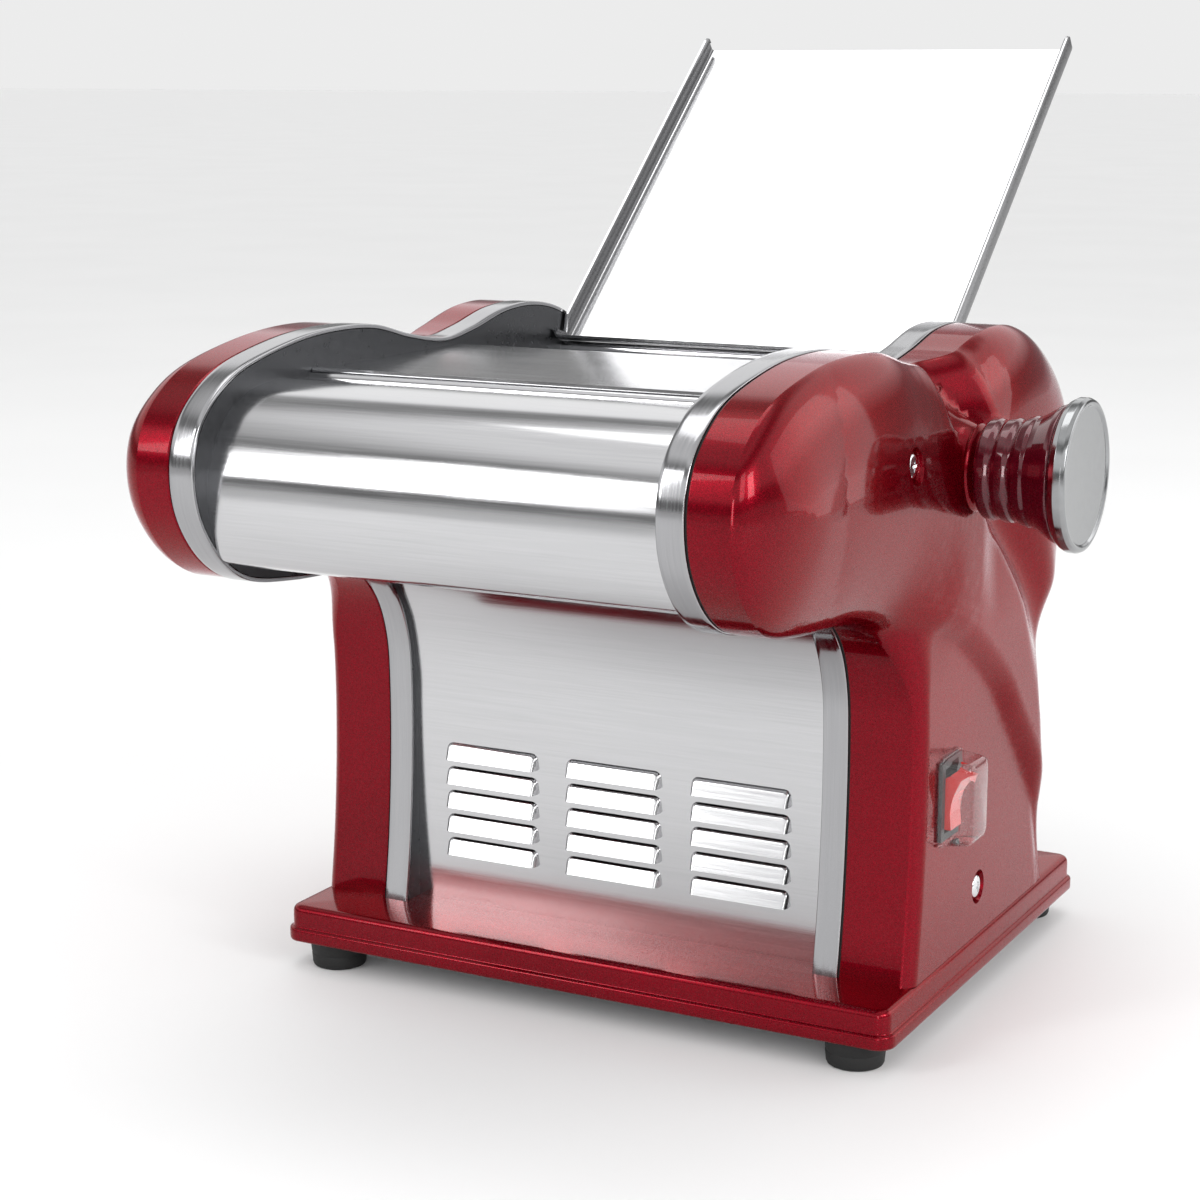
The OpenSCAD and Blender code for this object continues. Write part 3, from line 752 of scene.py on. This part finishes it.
def plinth_shape(ins):
    return rrect(0, 0, 289 - 2 * ins, 240 - 2 * ins, max(8 - ins, 1.0), 10)


stack = [(5.2, 12.0), (1.0, 12.0), (0.35, 12.25), (0.05, 12.8), (0.0, 13.5), (0.0, 16.6), (0.12, 17.3), (0.5, 17.8), (1.2, 18.0), (1.55, 18.15), (1.75, 18.6), (1.8, 19.4),
         (1.8, 25.0), (2.05, 26.3), (2.8, 27.3), (3.9, 27.85), (5.2, 28.0), (30, 28.0)]
inner = [(30, 26.0), (5.0, 26.0), (5.0, 12.3), (5.2, 12.0)]
ringstack("base_plinth_moulded", plinth_shape, stack + inner[0:0], MAT["red"], "frame", cap_first=False, cap_last=True, replaces=["base_plinth"], slot="red_paint", sharp=55)
ringstack("base_plinth_inner_wall", plinth_shape, [(5.2, 12.0), (5.2, 26.2), (30, 26.2)], MAT["red"], "frame", cap_first=False, cap_last=True, slot="red_paint", sharp=40)

# ------------------------------------------------------------------ feet
feet_xy = [(x * (289 / 2 - 20), y * (240 / 2 - 15)) for x in (-1, 1) for y in (-1, 1)]
parts = []
for fx, fy in feet_xy:
    prof = [(3.2, 0), (3.2, 4.6), (0.9, 5.1), (0.25, 5.6), (0, 6.4), (0, 10.4), (0.35, 11.5), (1.2, 11.9), (5.4, 12.3), (6.0, 12.05), (6.6, 12.35), (11.2, 12.9), (12, 12.9), (12, 2.1)]
    V, F, rows = [], [], []
    for z, r in prof:
        if r == 0:
            rows.append([len(V)])
            V.append((fx, fy, z))
        else:
            rows.append(list(range(len(V), len(V) + 48)))
            V += [(fx + r * math.cos(2 * math.pi * k / 48), fy + r * math.sin(2 * math.pi * k / 48), z) for k in range(48)]
    for a, b in zip(rows[:-1], rows[1:]):
        for j in range(48):
            j2 = (j + 1) % 48
            F.append((a[0], b[j], b[j2]) if len(a) == 1 else (a[j], b[j], b[j2], a[j2]))
    parts.append((V, F))
V, F = rot_merge(parts)
make("rubber_feet", V, F, MAT["rubber"], "frame", replaces=["feet"], slot="black_rubber", sharp=38)

# ------------------------------------------------------------------ housings and panels
pw = hb
skin("cutter_housing_skin", [(-168, 262), (-168, 266), (-168.3, 269.2), (-170, 271.3), (-173, 272), (-181, 271.9), (-190, 271), (-198, 269.4), (-205, 266.5), (-211, 262.8), (-216, 258), (-220.4, 252.6),
     (-223.5, 247), (-225.6, 241.2), (-226.5, 235), (-226.7, 228.4), (-226, 222), (-224.5, 216), (-222, 210.5), (-219.8, 207), (-217, 204.5), (-210, 202)], 1.4, -pw, pw, MAT["steel"], "frame", nsub=5, replaces=["cutter_housing"], slot="polished_steel", sharp=40)
skin("roller_housing_skin", [(97, 192), (102.5, 204), (105, 218), (103, 236), (96, 250), (85, 259.5), (74, 264.2), (65, 265), (57, 265), (55.5, 259.5)], 1.4, -pw, pw, MAT["steel"], "frame", nsub=6, replaces=["roller_housing"], slot="polished_steel", sharp=40)
skin("top_plate_skin", [(-34, 262), (-34.2, 268), (-35.2, 271.2), (-38, 273), (-44, 273.2), (-60, 273.2), (-100, 273.2), (-150, 273.2), (-154.5, 272.8), (-157, 271), (-157.8, 268), (-158, 262)], 1.5, -pw, pw, MAT["steel"], "frame", nsub=4, replaces=["top_plate"], slot="polished_steel", sharp=40)
skin("sheet_chute_skin", [(2, 208), (4, 196), (10, 184), (20, 172), (34, 161), (50, 152), (58, 148)], 1.2, -pw, pw, MAT["steel"], "frame", nsub=6, replaces=["sheet_chute"], slot="polished_steel", sharp=40)

# front panel: flat lower field with pressed louvres, and a curved top
LV = [(x, 54 + 10.9 * k) for x in (-60, 0, 60) for k in range(5)]


def front_panel():
    y0, t = -78.0, 1.2
    pts, edges = [], []

    def loop(l):
        o = len(pts)
        pts.extend(l)
        edges.extend((o + i, o + (i + 1) % len(l)) for i in range(len(l)))

    xs = np.linspace(-pw, pw, 12)
    zs = np.linspace(28, 120, 7)
    border = [(x, 28.0) for x in xs[:-1]] + [(pw, z) for z in zs[:-1]] + [(x, 120.0) for x in xs[::-1][:-1]] + [(-pw, z) for z in zs[::-1][:-1]]
    loop(border)
    for x, z in LV:
        loop(rrect(x, z, 45.4, 7.4, 2.9, 5))
    res = delaunay_2d_cdt([Vector(q) for q in pts], edges, [], 0, 1e-4)
    cv, fs = res[0], res[2]
    keep = []
    for f in fs:
        m = np.array([(cv[i][0], cv[i][1]) for i in f]).mean(0)
        if any(abs(m[0] - x) < 22.6 and abs(m[1] - z) < 3.6 for x, z in LV):
            inside_any = False
            for x, z in LV:
                u, w = abs(m[0] - x), abs(m[1] - z)
                if u < 22.7 and w < 3.7:
                    cu, cw = max(0, u - (22.7 - 2.9)), max(0, w - (3.7 - 2.9))
                    if math.hypot(cu, cw) < 2.88:
                        inside_any = True
            if inside_any:
                continue
        keep.append(tuple(f))
    n = len(cv)
    V = [(v[0], y0, v[1]) for v in cv] + [(v[0], y0 + t, v[1]) for v in cv]
    F = list(keep) + [tuple(i + n for i in reversed(f)) for f in keep]
    cnt = set()
    for f in keep:
        for a, b in zip(f, f[1:] + f[:1]):
            cnt.add((a, b))
    for a, b in cnt:
        if (b, a) not in cnt:
            F.append((b, a, a + n, b + n))
    # louvre hoods, raised out of the sheet and open below
    for x, z in LV:
        W, H, rc = 45.4, 7.4, 2.9
        nu, nv = 30, 9
        us = np.concatenate([np.linspace(-W / 2, -W / 2 + 3.4, 9), np.linspace(-W / 2 + 3.4, W / 2 - 3.4, 8)[1:-1], np.linspace(W / 2 - 3.4, W / 2, 9)])
        vs = np.concatenate([np.linspace(0, 2.6, 7), np.linspace(2.6, H, 5)[1:]])
        o = len(V)
        grid = {}
        for iv, v in enumerate(vs):
            # half width at this depth, with round top corners
            hw = W / 2
            if v < rc:
                hw = W / 2 - rc + math.sqrt(max(rc * rc - (rc - v) ** 2, 0))
            for iu, u in enumerate(us):
                uu = u * hw / (W / 2)
                e = hw - abs(uu)
                dist = min(e, v)
                if v < rc and abs(uu) > W / 2 - rc:
                    dist = rc - math.hypot(abs(uu) - (W / 2 - rc), rc - v)
                rise = float(np.clip(dist / 1.7, 0, 1))
                rise = math.sqrt(max(0, 1 - (1 - rise) ** 2))
                top = (1.0 + 2.7 * v / H) * rise
                grid[(iu, iv)] = len(V)
                V.append((x + uu, y0 - top, z + H / 2 - v))
        g2 = {}
        for (iu, iv), gi in list(grid.items()):
            vx, vy, vz = V[gi]
            g2[(iu, iv)] = len(V)
            V.append((vx * 1.0, vy + 0.85, vz - (0.35 if iv < 3 else 0)))
        for iv in range(len(vs) - 1):
            for iu in range(len(us) - 1):
                a, b, c, d = grid[(iu, iv)], grid[(iu + 1, iv)], grid[(iu + 1, iv + 1)], grid[(iu, iv + 1)]
                F.append((a, d, c, b))
                a, b, c, d = g2[(iu, iv)], g2[(iu + 1, iv)], g2[(iu + 1, iv + 1)], g2[(iu, iv + 1)]
                F.append((a, b, c, d))
        L = len(vs) - 1
        for iu in range(len(us) - 1):
            F.append((grid[(iu, L)], g2[(iu, L)], g2[(iu + 1, L)], grid[(iu + 1, L)]))
    # curved top
    path = cr_path([(-78, 120), (-78.1, 127), (-78.6, 134), (-79.5, 141.5), (-80.8, 148), (-82.8, 154.8), (-85.5, 161), (-89, 167.3), (-93, 173), (-98, 178.2), (-104, 182), (-111.5, 185.8), (-120, 188), (-140, 191.5), (-158, 193)], 4)
    L = lefts(path)
    q = path - L * t
    o = len(V)
    k = len(path)
    for x in (-pw, pw):
        V += [(x, a[0], a[1]) for a in path] + [(x, a[0], a[1]) for a in q]
    s = 2 * k
    for j in range(k - 1):
        F.append((o + j, o + s + j, o + s + j + 1, o + j + 1))
        F.append((o + k + j, o + k + j + 1, o + s + k + j + 1, o + s + k + j))
        F.append((o + j, o + j + 1, o + k + j + 1, o + k + j))
        F.append((o + s + j, o + s + k + j, o + s + k + j + 1, o + s + j + 1))
    F.append((o + k - 1, o + s + k - 1, o + s + 2 * k - 1, o + 2 * k - 1))
    return V, F


V, F = front_panel()
make("front_panel_louvred", V, F, MAT["steel"], "frame", replaces=["front_panel"], slot="polished_steel", sharp=36)

def curved_panel(path, slots, t, w, h, r):
    """a bent sheet with slots; path (y, z) from the foot up, slots (x, z)"""
    p = cr_path(path, 4)
    L = lefts(p)
    seg = np.hypot(*(p[1:] - p[:-1]).T)
    sc_ = np.concatenate([[0], np.cumsum(seg)])
    pts, edges = [], []

    def loop(l, closed=True):
        o = len(pts)
        pts.extend(l)
        n = len(l)
        edges.extend((o + i, o + (i + 1) % n) for i in range(n if closed else n - 1))

    xs = np.linspace(-pw, pw, 10)
    loop([(x, 0.0) for x in xs[:-1]] + [(pw, v) for v in sc_[:-1]] + [(x, sc_[-1]) for x in xs[::-1][:-1]] + [(-pw, v) for v in sc_[::-1][:-1]])
    for v in sc_[1:-1]:
        loop([(-pw, v), (pw, v)], False)
    cs = []
    for x, z in slots:
        v = float(np.interp(z, p[:, 1], sc_))
        cs.append((x, v))
        loop(rrect(x, v, w, h, r, 6))
    res = delaunay_2d_cdt([Vector(q) for q in pts], edges, [], 0, 1e-4)
    cv = np.array([(v[0], v[1]) for v in res[0]])
    keep = []
    for f in res[2]:
        m = cv[list(f)].mean(0)
        hole = False
        for x, v in cs:
            u, q = abs(m[0] - x), abs(m[1] - v)
            if u < w / 2 and q < h / 2:
                cu, cq = max(0, u - (w / 2 - r)), max(0, q - (h / 2 - r))
                if math.hypot(cu, cq) < r * 0.995:
                    hole = True
        if not hole:
            keep.append(tuple(f))
    Y = np.interp(cv[:, 1], sc_, p[:, 0])
    Z = np.interp(cv[:, 1], sc_, p[:, 1])
    LY = np.interp(cv[:, 1], sc_, L[:, 0])
    LZ = np.interp(cv[:, 1], sc_, L[:, 1])
    n = len(cv)
    V = [(cv[i][0], Y[i], Z[i]) for i in range(n)] + [(cv[i][0], Y[i] + LY[i] * t, max(Z[i] + LZ[i] * t, 28.0)) for i in range(n)]
    F = list(keep) + [tuple(i + n for i in reversed(f)) for f in keep]
    cnt = set()
    for f in keep:
        for a, b in zip(f, f[1:] + f[:1]):
            cnt.add((a, b))
    for a, b in cnt:
        if (b, a) not in cnt:
            F.append((b, a, a + n, b + n))
    return V, F


V, F = curved_panel([(79.2, 28), (72.6, 49), (66, 70), (61.2, 87), (57, 104), (54.6, 115), (53.6, 124), (53.3, 131), (54, 138), (57, 145.5)],
                    [(x, 54 + 10.9 * k) for x in (-60, 0, 60) for k in range(5) if not (x == -60 and k == 0)] , 1.2, 45.0, 7.0, 2.6)
make("rear_panel_slotted", V, F, MAT["steel"], "frame", replaces=["rear_panel"], slot="polished_steel", sharp=36)

# ------------------------------------------------------------------ dough tray
tray_top, tray_foot = np.array((217.0, 402.0)), np.array((59.0, 266.5))
td = (tray_top - tray_foot) / np.linalg.norm(tray_top - tray_foot)
tn = np.array((-td[1], td[0]))             # up from the tray's face
tl = float(np.linalg.norm(tray_top - tray_foot))


def tray():
    w, t, fh = 97.5, 1.2, 11.0
    # cross section from left hem to right hem: (x, height), outer then inner
    def half(s):
        outer = [(-w + 2.6, -0.0), (-w + 1.2, 0.3), (-w + 0.35, 1.2), (-w, 2.6), (-w, fh - 0.9), (-w + 0.25, fh - 0.25), (-w + 0.9, fh), (-w + 1.6, fh - 0.2), (-w + 1.95, fh - 0.9), (-w + 1.95, fh - 3.6), (-w + 1.3, fh - 3.9)]
        inner = [(-w + 1.2, fh - 4.1), (-w + 1.2, 2.8), (-w + 1.5, 1.9), (-w + 2.1, 1.35), (-w + 3.0, 1.2)]
        l = outer + inner
        return [(s * -a if s > 0 else a, b) for a, b in l]
    left = half(-1)
    right = [(-a, b) for a, b in left]
    prof = list(reversed(left[:11])) + []
    # closed outline: bottom face left to right, right flange, top face back
    outl = list(reversed(left[11:]))        # inner left, from bottom radius to hem
    sec = [(x, h) for x, h in left[:1]] + [(x, h) for x, h in right[:1]]
    sec = [left[0], right[0]] + right[1:] + [left[-1]] + list(reversed(left[1:-1]))
    # right ends with inner radius point, then across to the left inner radius
    k = len(sec)
    stations = [(-12.0, 3.0, 0.30), (-10.0, 1.8, 0.34), (0.0, 0.0, 0.45), (7.0, 0, 1.0), (tl - 4, 0, 1.0), (tl - 1.2, 0, 0.96), (tl, 0, 0.85)]
    V, F = [], []
    for a, dz, fl in stations:
        for x, h in sec:
            hh = h if h <= 1.3 else 1.3 + (h - 1.3) * fl
            if a < 0:
                base = tray_foot + np.array((a, dz))
                q = base + np.array((0, 1)) * (hh - 1.2)
            else:
                q = tray_foot + td * a + tn * (hh - 1.2)
            V.append((x, q[0], q[1]))
    n = len(stations)
    for i in range(n - 1):
        for j in range(k):
            a, b = i * k + j, i * k + (j + 1) % k
            F.append((a, b, b + k, a + k))
    # end caps, each one polygon over the whole section
    def cap(base, rev):
        m = (k - 2) // 2
        f = tuple(base + j for j in range(k))
        F.append(f if rev else f[::-1])
    cap(0, False)
    cap((n - 1) * k, True)
    return V, F


V, F = tray()
ob = make("feed_tray_sheet", V, F, MAT["tray"], "feed_tray", replaces=["feed_tray"], slot="polished_steel", sharp=34)
# the flange's side faces take the darker steel as a painted dark reflection
ob.data.materials.append(MAT["flange"])
for p_ in ob.data.polygons:
    cxm = sum(ob.data.vertices[i].co.x for i in p_.vertices) / len(p_.vertices) * 1000 - OX
    if abs(cxm) > 94.8 and abs(p_.normal.x) > 0.5 and len(p_.vertices) < 6:
        p_.material_index = 1

# ------------------------------------------------------------------ knob
def lathe(name, prof, c, mat, body, seg=112, **kw):
    V, F = lathe_data(prof, c, seg)
    return make(name, V, F, mat, body, **kw)


lathe("knob_collar_ring", [(139.2, 8.1), (139.2, 16.0), (146.4, 16.1), (147.4, 17.4), (148.4, 17.9), (149.4, 17.4), (149.9, 16.6), (150.6, 16.2), (151.4, 15.6), (151.5, 14.8), (151.5, 8.1), (139.2, 8.1)], Kc, MAT["red"], "frame", replaces=["knob_collar"], slot="red_paint", sharp=45)
hub = fillet([(152, 6.05), (152, 19.0), (153.4, 20.3), (156.8, 20.5), (158.2, 19.9), (159.6, 19.9), (161.0, 20.7), (164.4, 21.0), (165.8, 20.4), (167.2, 20.5), (168.6, 21.6), (171.8, 22.5), (173.4, 22.3), (176, 23.4), (179, 25.3), (182, 27.2), (185, 28.4), (185, 6.05), (152, 6.05)], 1.6, 5)
lathe("knob_hub_ribbed", hub, Kc, MAT["plum"], "gap_knob", replaces=["knob_hub"], slot="dark_red_plastic", sharp=48)
disc = fillet([(185, 0), (185, 28.3), (186.3, 29.7), (188.4, 30.8), (191.2, 30.8), (192.6, 30.1), (193, 29.1), (192.9, 28.2), (192.1, 27.3), (192.1, 0)], 0.5, 4)
lathe("knob_disc_capped", disc, Kc, MAT["chrome"], "gap_knob", replaces=["knob_disc"], slot="chrome_disc", sharp=30)


# ------------------------------------------------------------------ cover screws
def phillips(c, x, s):
    r1 = 3.1
    cr = []
    a, b = 0.62, 2.3
    for q in range(4):
        th = q * math.pi / 2
        for (u, v) in ((a, -a), (b, -a * 0.8), (b, a * 0.8)):
            cr.append((u * math.cos(th) - v * math.sin(th), u * math.sin(th) + v * math.cos(th)))
    cr = [(p[0], p[1]) for p in cr]
    ring = [(r1 * math.cos(2 * math.pi * k / 40), r1 * math.sin(2 * math.pi * k / 40)) for k in range(40)]
    pts = ring + cr
    ed = [(i, (i + 1) % 40) for i in range(40)] + [(40 + i, 40 + (i + 1) % 12) for i in range(12)]
    res = delaunay_2d_cdt([Vector(p) for p in pts], ed, [], 0, 1e-5)
    cv = res[0]

    def in_cross(m):
        return (abs(m[0]) < b and abs(m[1]) < a * 0.99) or (abs(m[1]) < b and abs(m[0]) < a * 0.99)

    V, F = [], []
    for v in cv:
        r = math.hypot(v[0], v[1])
        V.append((x + 0.55 - 0.030 * r * r, v[0], v[1]))
    for f in res[2]:
        m = np.array([(cv[i][0], cv[i][1]) for i in f]).mean(0)
        if not in_cross(m):
            F.append(tuple(f))
    # cross walls and floor
    n0 = len(V)
    idx = []
    for p in cr:
        j = min(range(len(cv)), key=lambda i: (cv[i][0] - p[0]) ** 2 + (cv[i][1] - p[1]) ** 2)
        idx.append(j)
    fl = []
    for p in cr:
        r = math.hypot(*p)
        fl.append(len(V))
        V.append((x - (1.3 if r < 1.5 else 0.7), p[0] * 0.8, p[1] * 0.8))
    for i in range(12):
        F.append((idx[i], idx[(i + 1) % 12], fl[(i + 1) % 12], fl[i]))
    ctr = len(V)
    V.append((x - 1.5, 0, 0))
    for i in range(12):
        F.append((fl[i], fl[(i + 1) % 12], ctr))
    # rim
    prof = [(x + 0.55 - 0.030 * r1 * r1, r1), (x + 0.55 - 0.03 * 3.9 ** 2, 3.9), (x - 0.12, 4.5), (x - 0.45, 4.85), (x - 0.9, 5.0), (x - 1.9, 5.0), (x - 1.9, 2.0), (x - 4.4, 2.0), (x - 4.4, 0)]
    V2, F2 = lathe_data(prof, (0, 0), 40)
    o = len(V)
    V += [tuple(v) for v in V2]
    F += [tuple(i + o for i in f) for f in F2]
    return [(s * v[0], v[1] + c[0], v[2] + c[1]) for v in V], F


sc = [phillips((-109, 245), cx - 0.5, 1), phillips((-12, 49.5), cf - 0.5, 1), phillips((-104, 268), cf - 0.5, -1), phillips((-12, 49.5), cf - 0.5, -1)]
V, F = rot_merge(sc)
make("cover_screw_heads", V, F, MAT["bright"], "frame", replaces=["cover_screws"], slot="machined_steel", sharp=35)


# ------------------------------------------------------------------ switch
def rounded_box(x0, x1, y0, y1, z0, z1, r, seg=4):
    bm = bmesh.new()
    bmesh.ops.create_cube(bm, size=1)
    for v in bm.verts:
        v.co = Vector(((x0 + x1) / 2 + v.co.x * (x1 - x0), (y0 + y1) / 2 + v.co.y * (y1 - y0), (z0 + z1) / 2 + v.co.z * (z1 - z0)))
    bmesh.ops.bevel(bm, geom=list(bm.edges), offset=r, segments=seg, profile=0.5, affect="EDGES")
    V = [tuple(v.co) for v in bm.verts]
    F = [tuple(v.index for v in f.verts) for f in bm.faces]
    bm.verts.index_update()
    F = [tuple(v.index for v in f.verts) for f in bm.faces]
    bm.free()
    return V, F


# clear boot: a tapered hood with a wall, on a thin frame
def hood(x0, stack_o, stack_i):
    V, F = [], []
    rows = []
    for x, w, h, r in stack_o + stack_i:
        pts = rrect(SWc[0], SWc[1], w, h, r, 6)
        rows.append(list(range(len(V), len(V) + len(pts))))
        V += [(x, a, b) for a, b in pts]
    n = len(rows[0])
    for a, b in zip(rows[:-1], rows[1:]):
        for j in range(n):
            F.append((a[j], a[(j + 1) % n], b[(j + 1) % n], b[j]))
    return V, F, rows


so = [(142.0, 25.2, 38.0, 2.6), (143.2, 25.2, 38.0, 2.6), (143.6, 24.6, 37.4, 2.4), (143.9, 23.6, 36.4, 2.6), (146, 23.2, 36.0, 2.8), (152.5, 22.0, 34.8, 3.2), (154.4, 21.2, 34.0, 3.4), (155.5, 19.4, 32.2, 3.6), (156.0, 16.0, 28.8, 3.6)]
si = [(155.0, 15.0, 27.8, 3.0), (154.6, 18.0, 30.8, 3.0), (153.4, 19.8, 32.6, 2.6), (150, 20.6, 33.4, 2.2), (144, 21.6, 34.4, 2.0), (142.0, 21.8, 34.6, 2.0)]
V, F, rows = hood(0, so, [])
o = len(V)
top = rows[-1]
F.append(tuple(top))
V2, F2, rows2 = hood(0, si, [])
F += [tuple(i + o for i in f) for f in F2]
F.append(tuple(i + o for i in rows2[0]))
n = len(rows[0])
a, b = rows[0], [i + o for i in rows2[-1]]
for j in range(n):
    F.append((a[j], b[j], b[(j + 1) % n], a[(j + 1) % n]))
make("switch_boot_clear", V, F, MAT["clear"], "frame", replaces=["switch_cover"], slot="clear_cover", sharp=50)

NODES_MAT = {
    "base_plate": "grey", "left_side_plate": "plate", "right_side_plate": "plate", "frame_brackets": "grey", "motor_bracket": "grey",
    "tie_rods": "turned", "foot_screws": "turned", "cover_posts": "turned", "motor_shaft": "turned", "motor_pinion": "turned", "gear_axles": "turned",
    "rear_roller": "turned", "front_roller": "turned", "rear_roller_drive_gear": "turned", "rear_roller_sync_gear": "turned", "front_roller_sync_gear": "turned",
    "roller_scrapers": "steel", "cutter_front": "turned", "cutter_rear": "turned", "cutter_gear_front": "turned", "cutter_gear_rear": "turned", "cutter_combs": "steel",
    "cam_shaft": "turned", "gap_cams": "turned", "roller_bushes": "bronze", "bearing_blocks": "bronze", "cutter_bushes": "bronze", "cam_bushes": "bronze",
    "reduction_gear": "nylon", "idler_gear_1": "nylon", "idler_gear_2": "nylon", "motor_body": "motor", "motor_gearbox": "cast", "motor_capacitor": "white",
    "switch_body": "black", "switch_rocker": "rocker", "cord_gland": "black",
}
replaced = {"left_trim_band", "right_trim_band", "left_seal", "right_seal", "left_cover", "right_cover", "base_plinth", "feet", "cutter_housing", "roller_housing", "top_plate", "sheet_chute",
            "front_panel", "rear_panel", "feed_tray", "knob_collar", "knob_hub", "knob_disc", "cover_screws", "switch_cover"}
missing = set(NODES) - set(NODES_MAT) - replaced
if missing:
    raise RuntimeError("no material for " + ", ".join(sorted(missing)))
for n_, k in NODES_MAT.items():
    me = NODES[n_].data
    me.materials.clear()
    me.materials.append(MAT[k])

# ------------------------------------------------------------------ stage, light, camera
bpy.ops.mesh.primitive_plane_add(size=80, location=(0, 0, 0))
floor = bpy.context.object
floor.name = "studio_floor"
fm, nt, b = new_mat("pale_floor")
nt.links.new(ramp(nt, noise(nt, coords(nt), 3.0, 2), [(0.3, (0.86, 0.86, 0.86)), (0.7, (0.88, 0.88, 0.88))]), b.inputs["Base Color"])
b.inputs["Roughness"].default_value = 0.6
floor.data.materials.append(fm)

world = bpy.data.worlds.new("studio")
bpy.context.scene.world = world
world.use_nodes = True
wn = world.node_tree
wn.nodes.clear()
wout = wn.nodes.new("ShaderNodeOutputWorld")
bg = wn.nodes.new("ShaderNodeBackground")
tcw = wn.nodes.new("ShaderNodeTexCoord")
sep = wn.nodes.new("ShaderNodeSeparateXYZ")
wn.links.new(tcw.outputs["Generated"], sep.inputs[0])
rz = wn.nodes.new("ShaderNodeValToRGB")
el = rz.color_ramp.elements
stops = [(0.0, 0.9), (0.49, 0.9), (0.525, 0.30), (0.575, 0.26), (0.625, 1.5), (0.78, 1.7), (0.83, 0.42), (0.87, 0.42), (0.92, 1.5), (1.0, 1.2)]
while len(el) < len(stops):
    el.new(0.5)
for e_, (p_, c_) in zip(el, stops):
    e_.position = p_
    e_.color = (c_, c_, c_, 1)
mr = wn.nodes.new("ShaderNodeMapRange")
mr.inputs["From Min"].default_value = -1
mr.inputs["From Max"].default_value = 1
wn.links.new(sep.outputs[2], mr.inputs["Value"])
wn.links.new(mr.outputs[0], rz.inputs[0])
wn.links.new(rz.outputs[0], bg.inputs["Color"])
bg.inputs["Strength"].default_value = 0.78
plain = wn.nodes.new("ShaderNodeBackground")
plain.inputs["Color"].default_value = (0.84, 0.84, 0.84, 1)
plain.inputs["Strength"].default_value = 1.0
lp = wn.nodes.new("ShaderNodeLightPath")
mixw = wn.nodes.new("ShaderNodeMixShader")
wn.links.new(lp.outputs["Is Camera Ray"], mixw.inputs[0])
wn.links.new(bg.outputs[0], mixw.inputs[1])
wn.links.new(plain.outputs[0], mixw.inputs[2])
wn.links.new(mixw.outputs[0], wout.inputs[0])
bpy.context.scene.view_settings.view_transform = "Standard"


def area(name, loc, target, size, energy, size_y=None):
    l = bpy.data.lights.new(name, "AREA")
    l.energy = energy
    l.size = size
    if size_y:
        l.shape = "RECTANGLE"
        l.size_y = size_y
    o = bpy.data.objects.new(name, l)
    bpy.context.scene.collection.objects.link(o)
    o.location = loc
    d = Vector(target) - Vector(loc)
    o.rotation_euler = d.to_track_quat("-Z", "Y").to_euler()
    return o


area("key_softbox", (-1.25, -1.9, 1.35), (0, 0, 0.25), 0.55, 13, 1.3)
area("side_softbox", (1.7, -1.1, 1.1), (0, 0, 0.25), 0.5, 6, 1.0)
area("low_strip", (0.95, -1.95, 0.40), (0, 0, 0.15), 0.22, 5, 0.8)
area("window_card", (1.55, -0.38, 0.78), (0.1, -0.1, 0.24), 0.34, 6.5, 0.6)
area("rear_right_softbox", (1.5, 1.3, 0.62), (0, 0, 0.24), 1.2, 6.0, 1.2)
area("top_softbox", (-0.2, 0.4, 2.2), (0, 0, 0.2), 1.6, 9, 0.9)

cam = bpy.data.cameras.new("photo_camera")
cam.lens = 75.89
cam.sensor_width = 36
cam.clip_start = 0.01
co_ = bpy.data.objects.new("photo_camera", cam)
bpy.context.scene.collection.objects.link(co_)
co_.location = (0.4601, -0.9948, 0.3926)
co_.rotation_euler = (math.radians(90 - 11.85), 0, math.radians(27.92))
bpy.context.scene.camera = co_
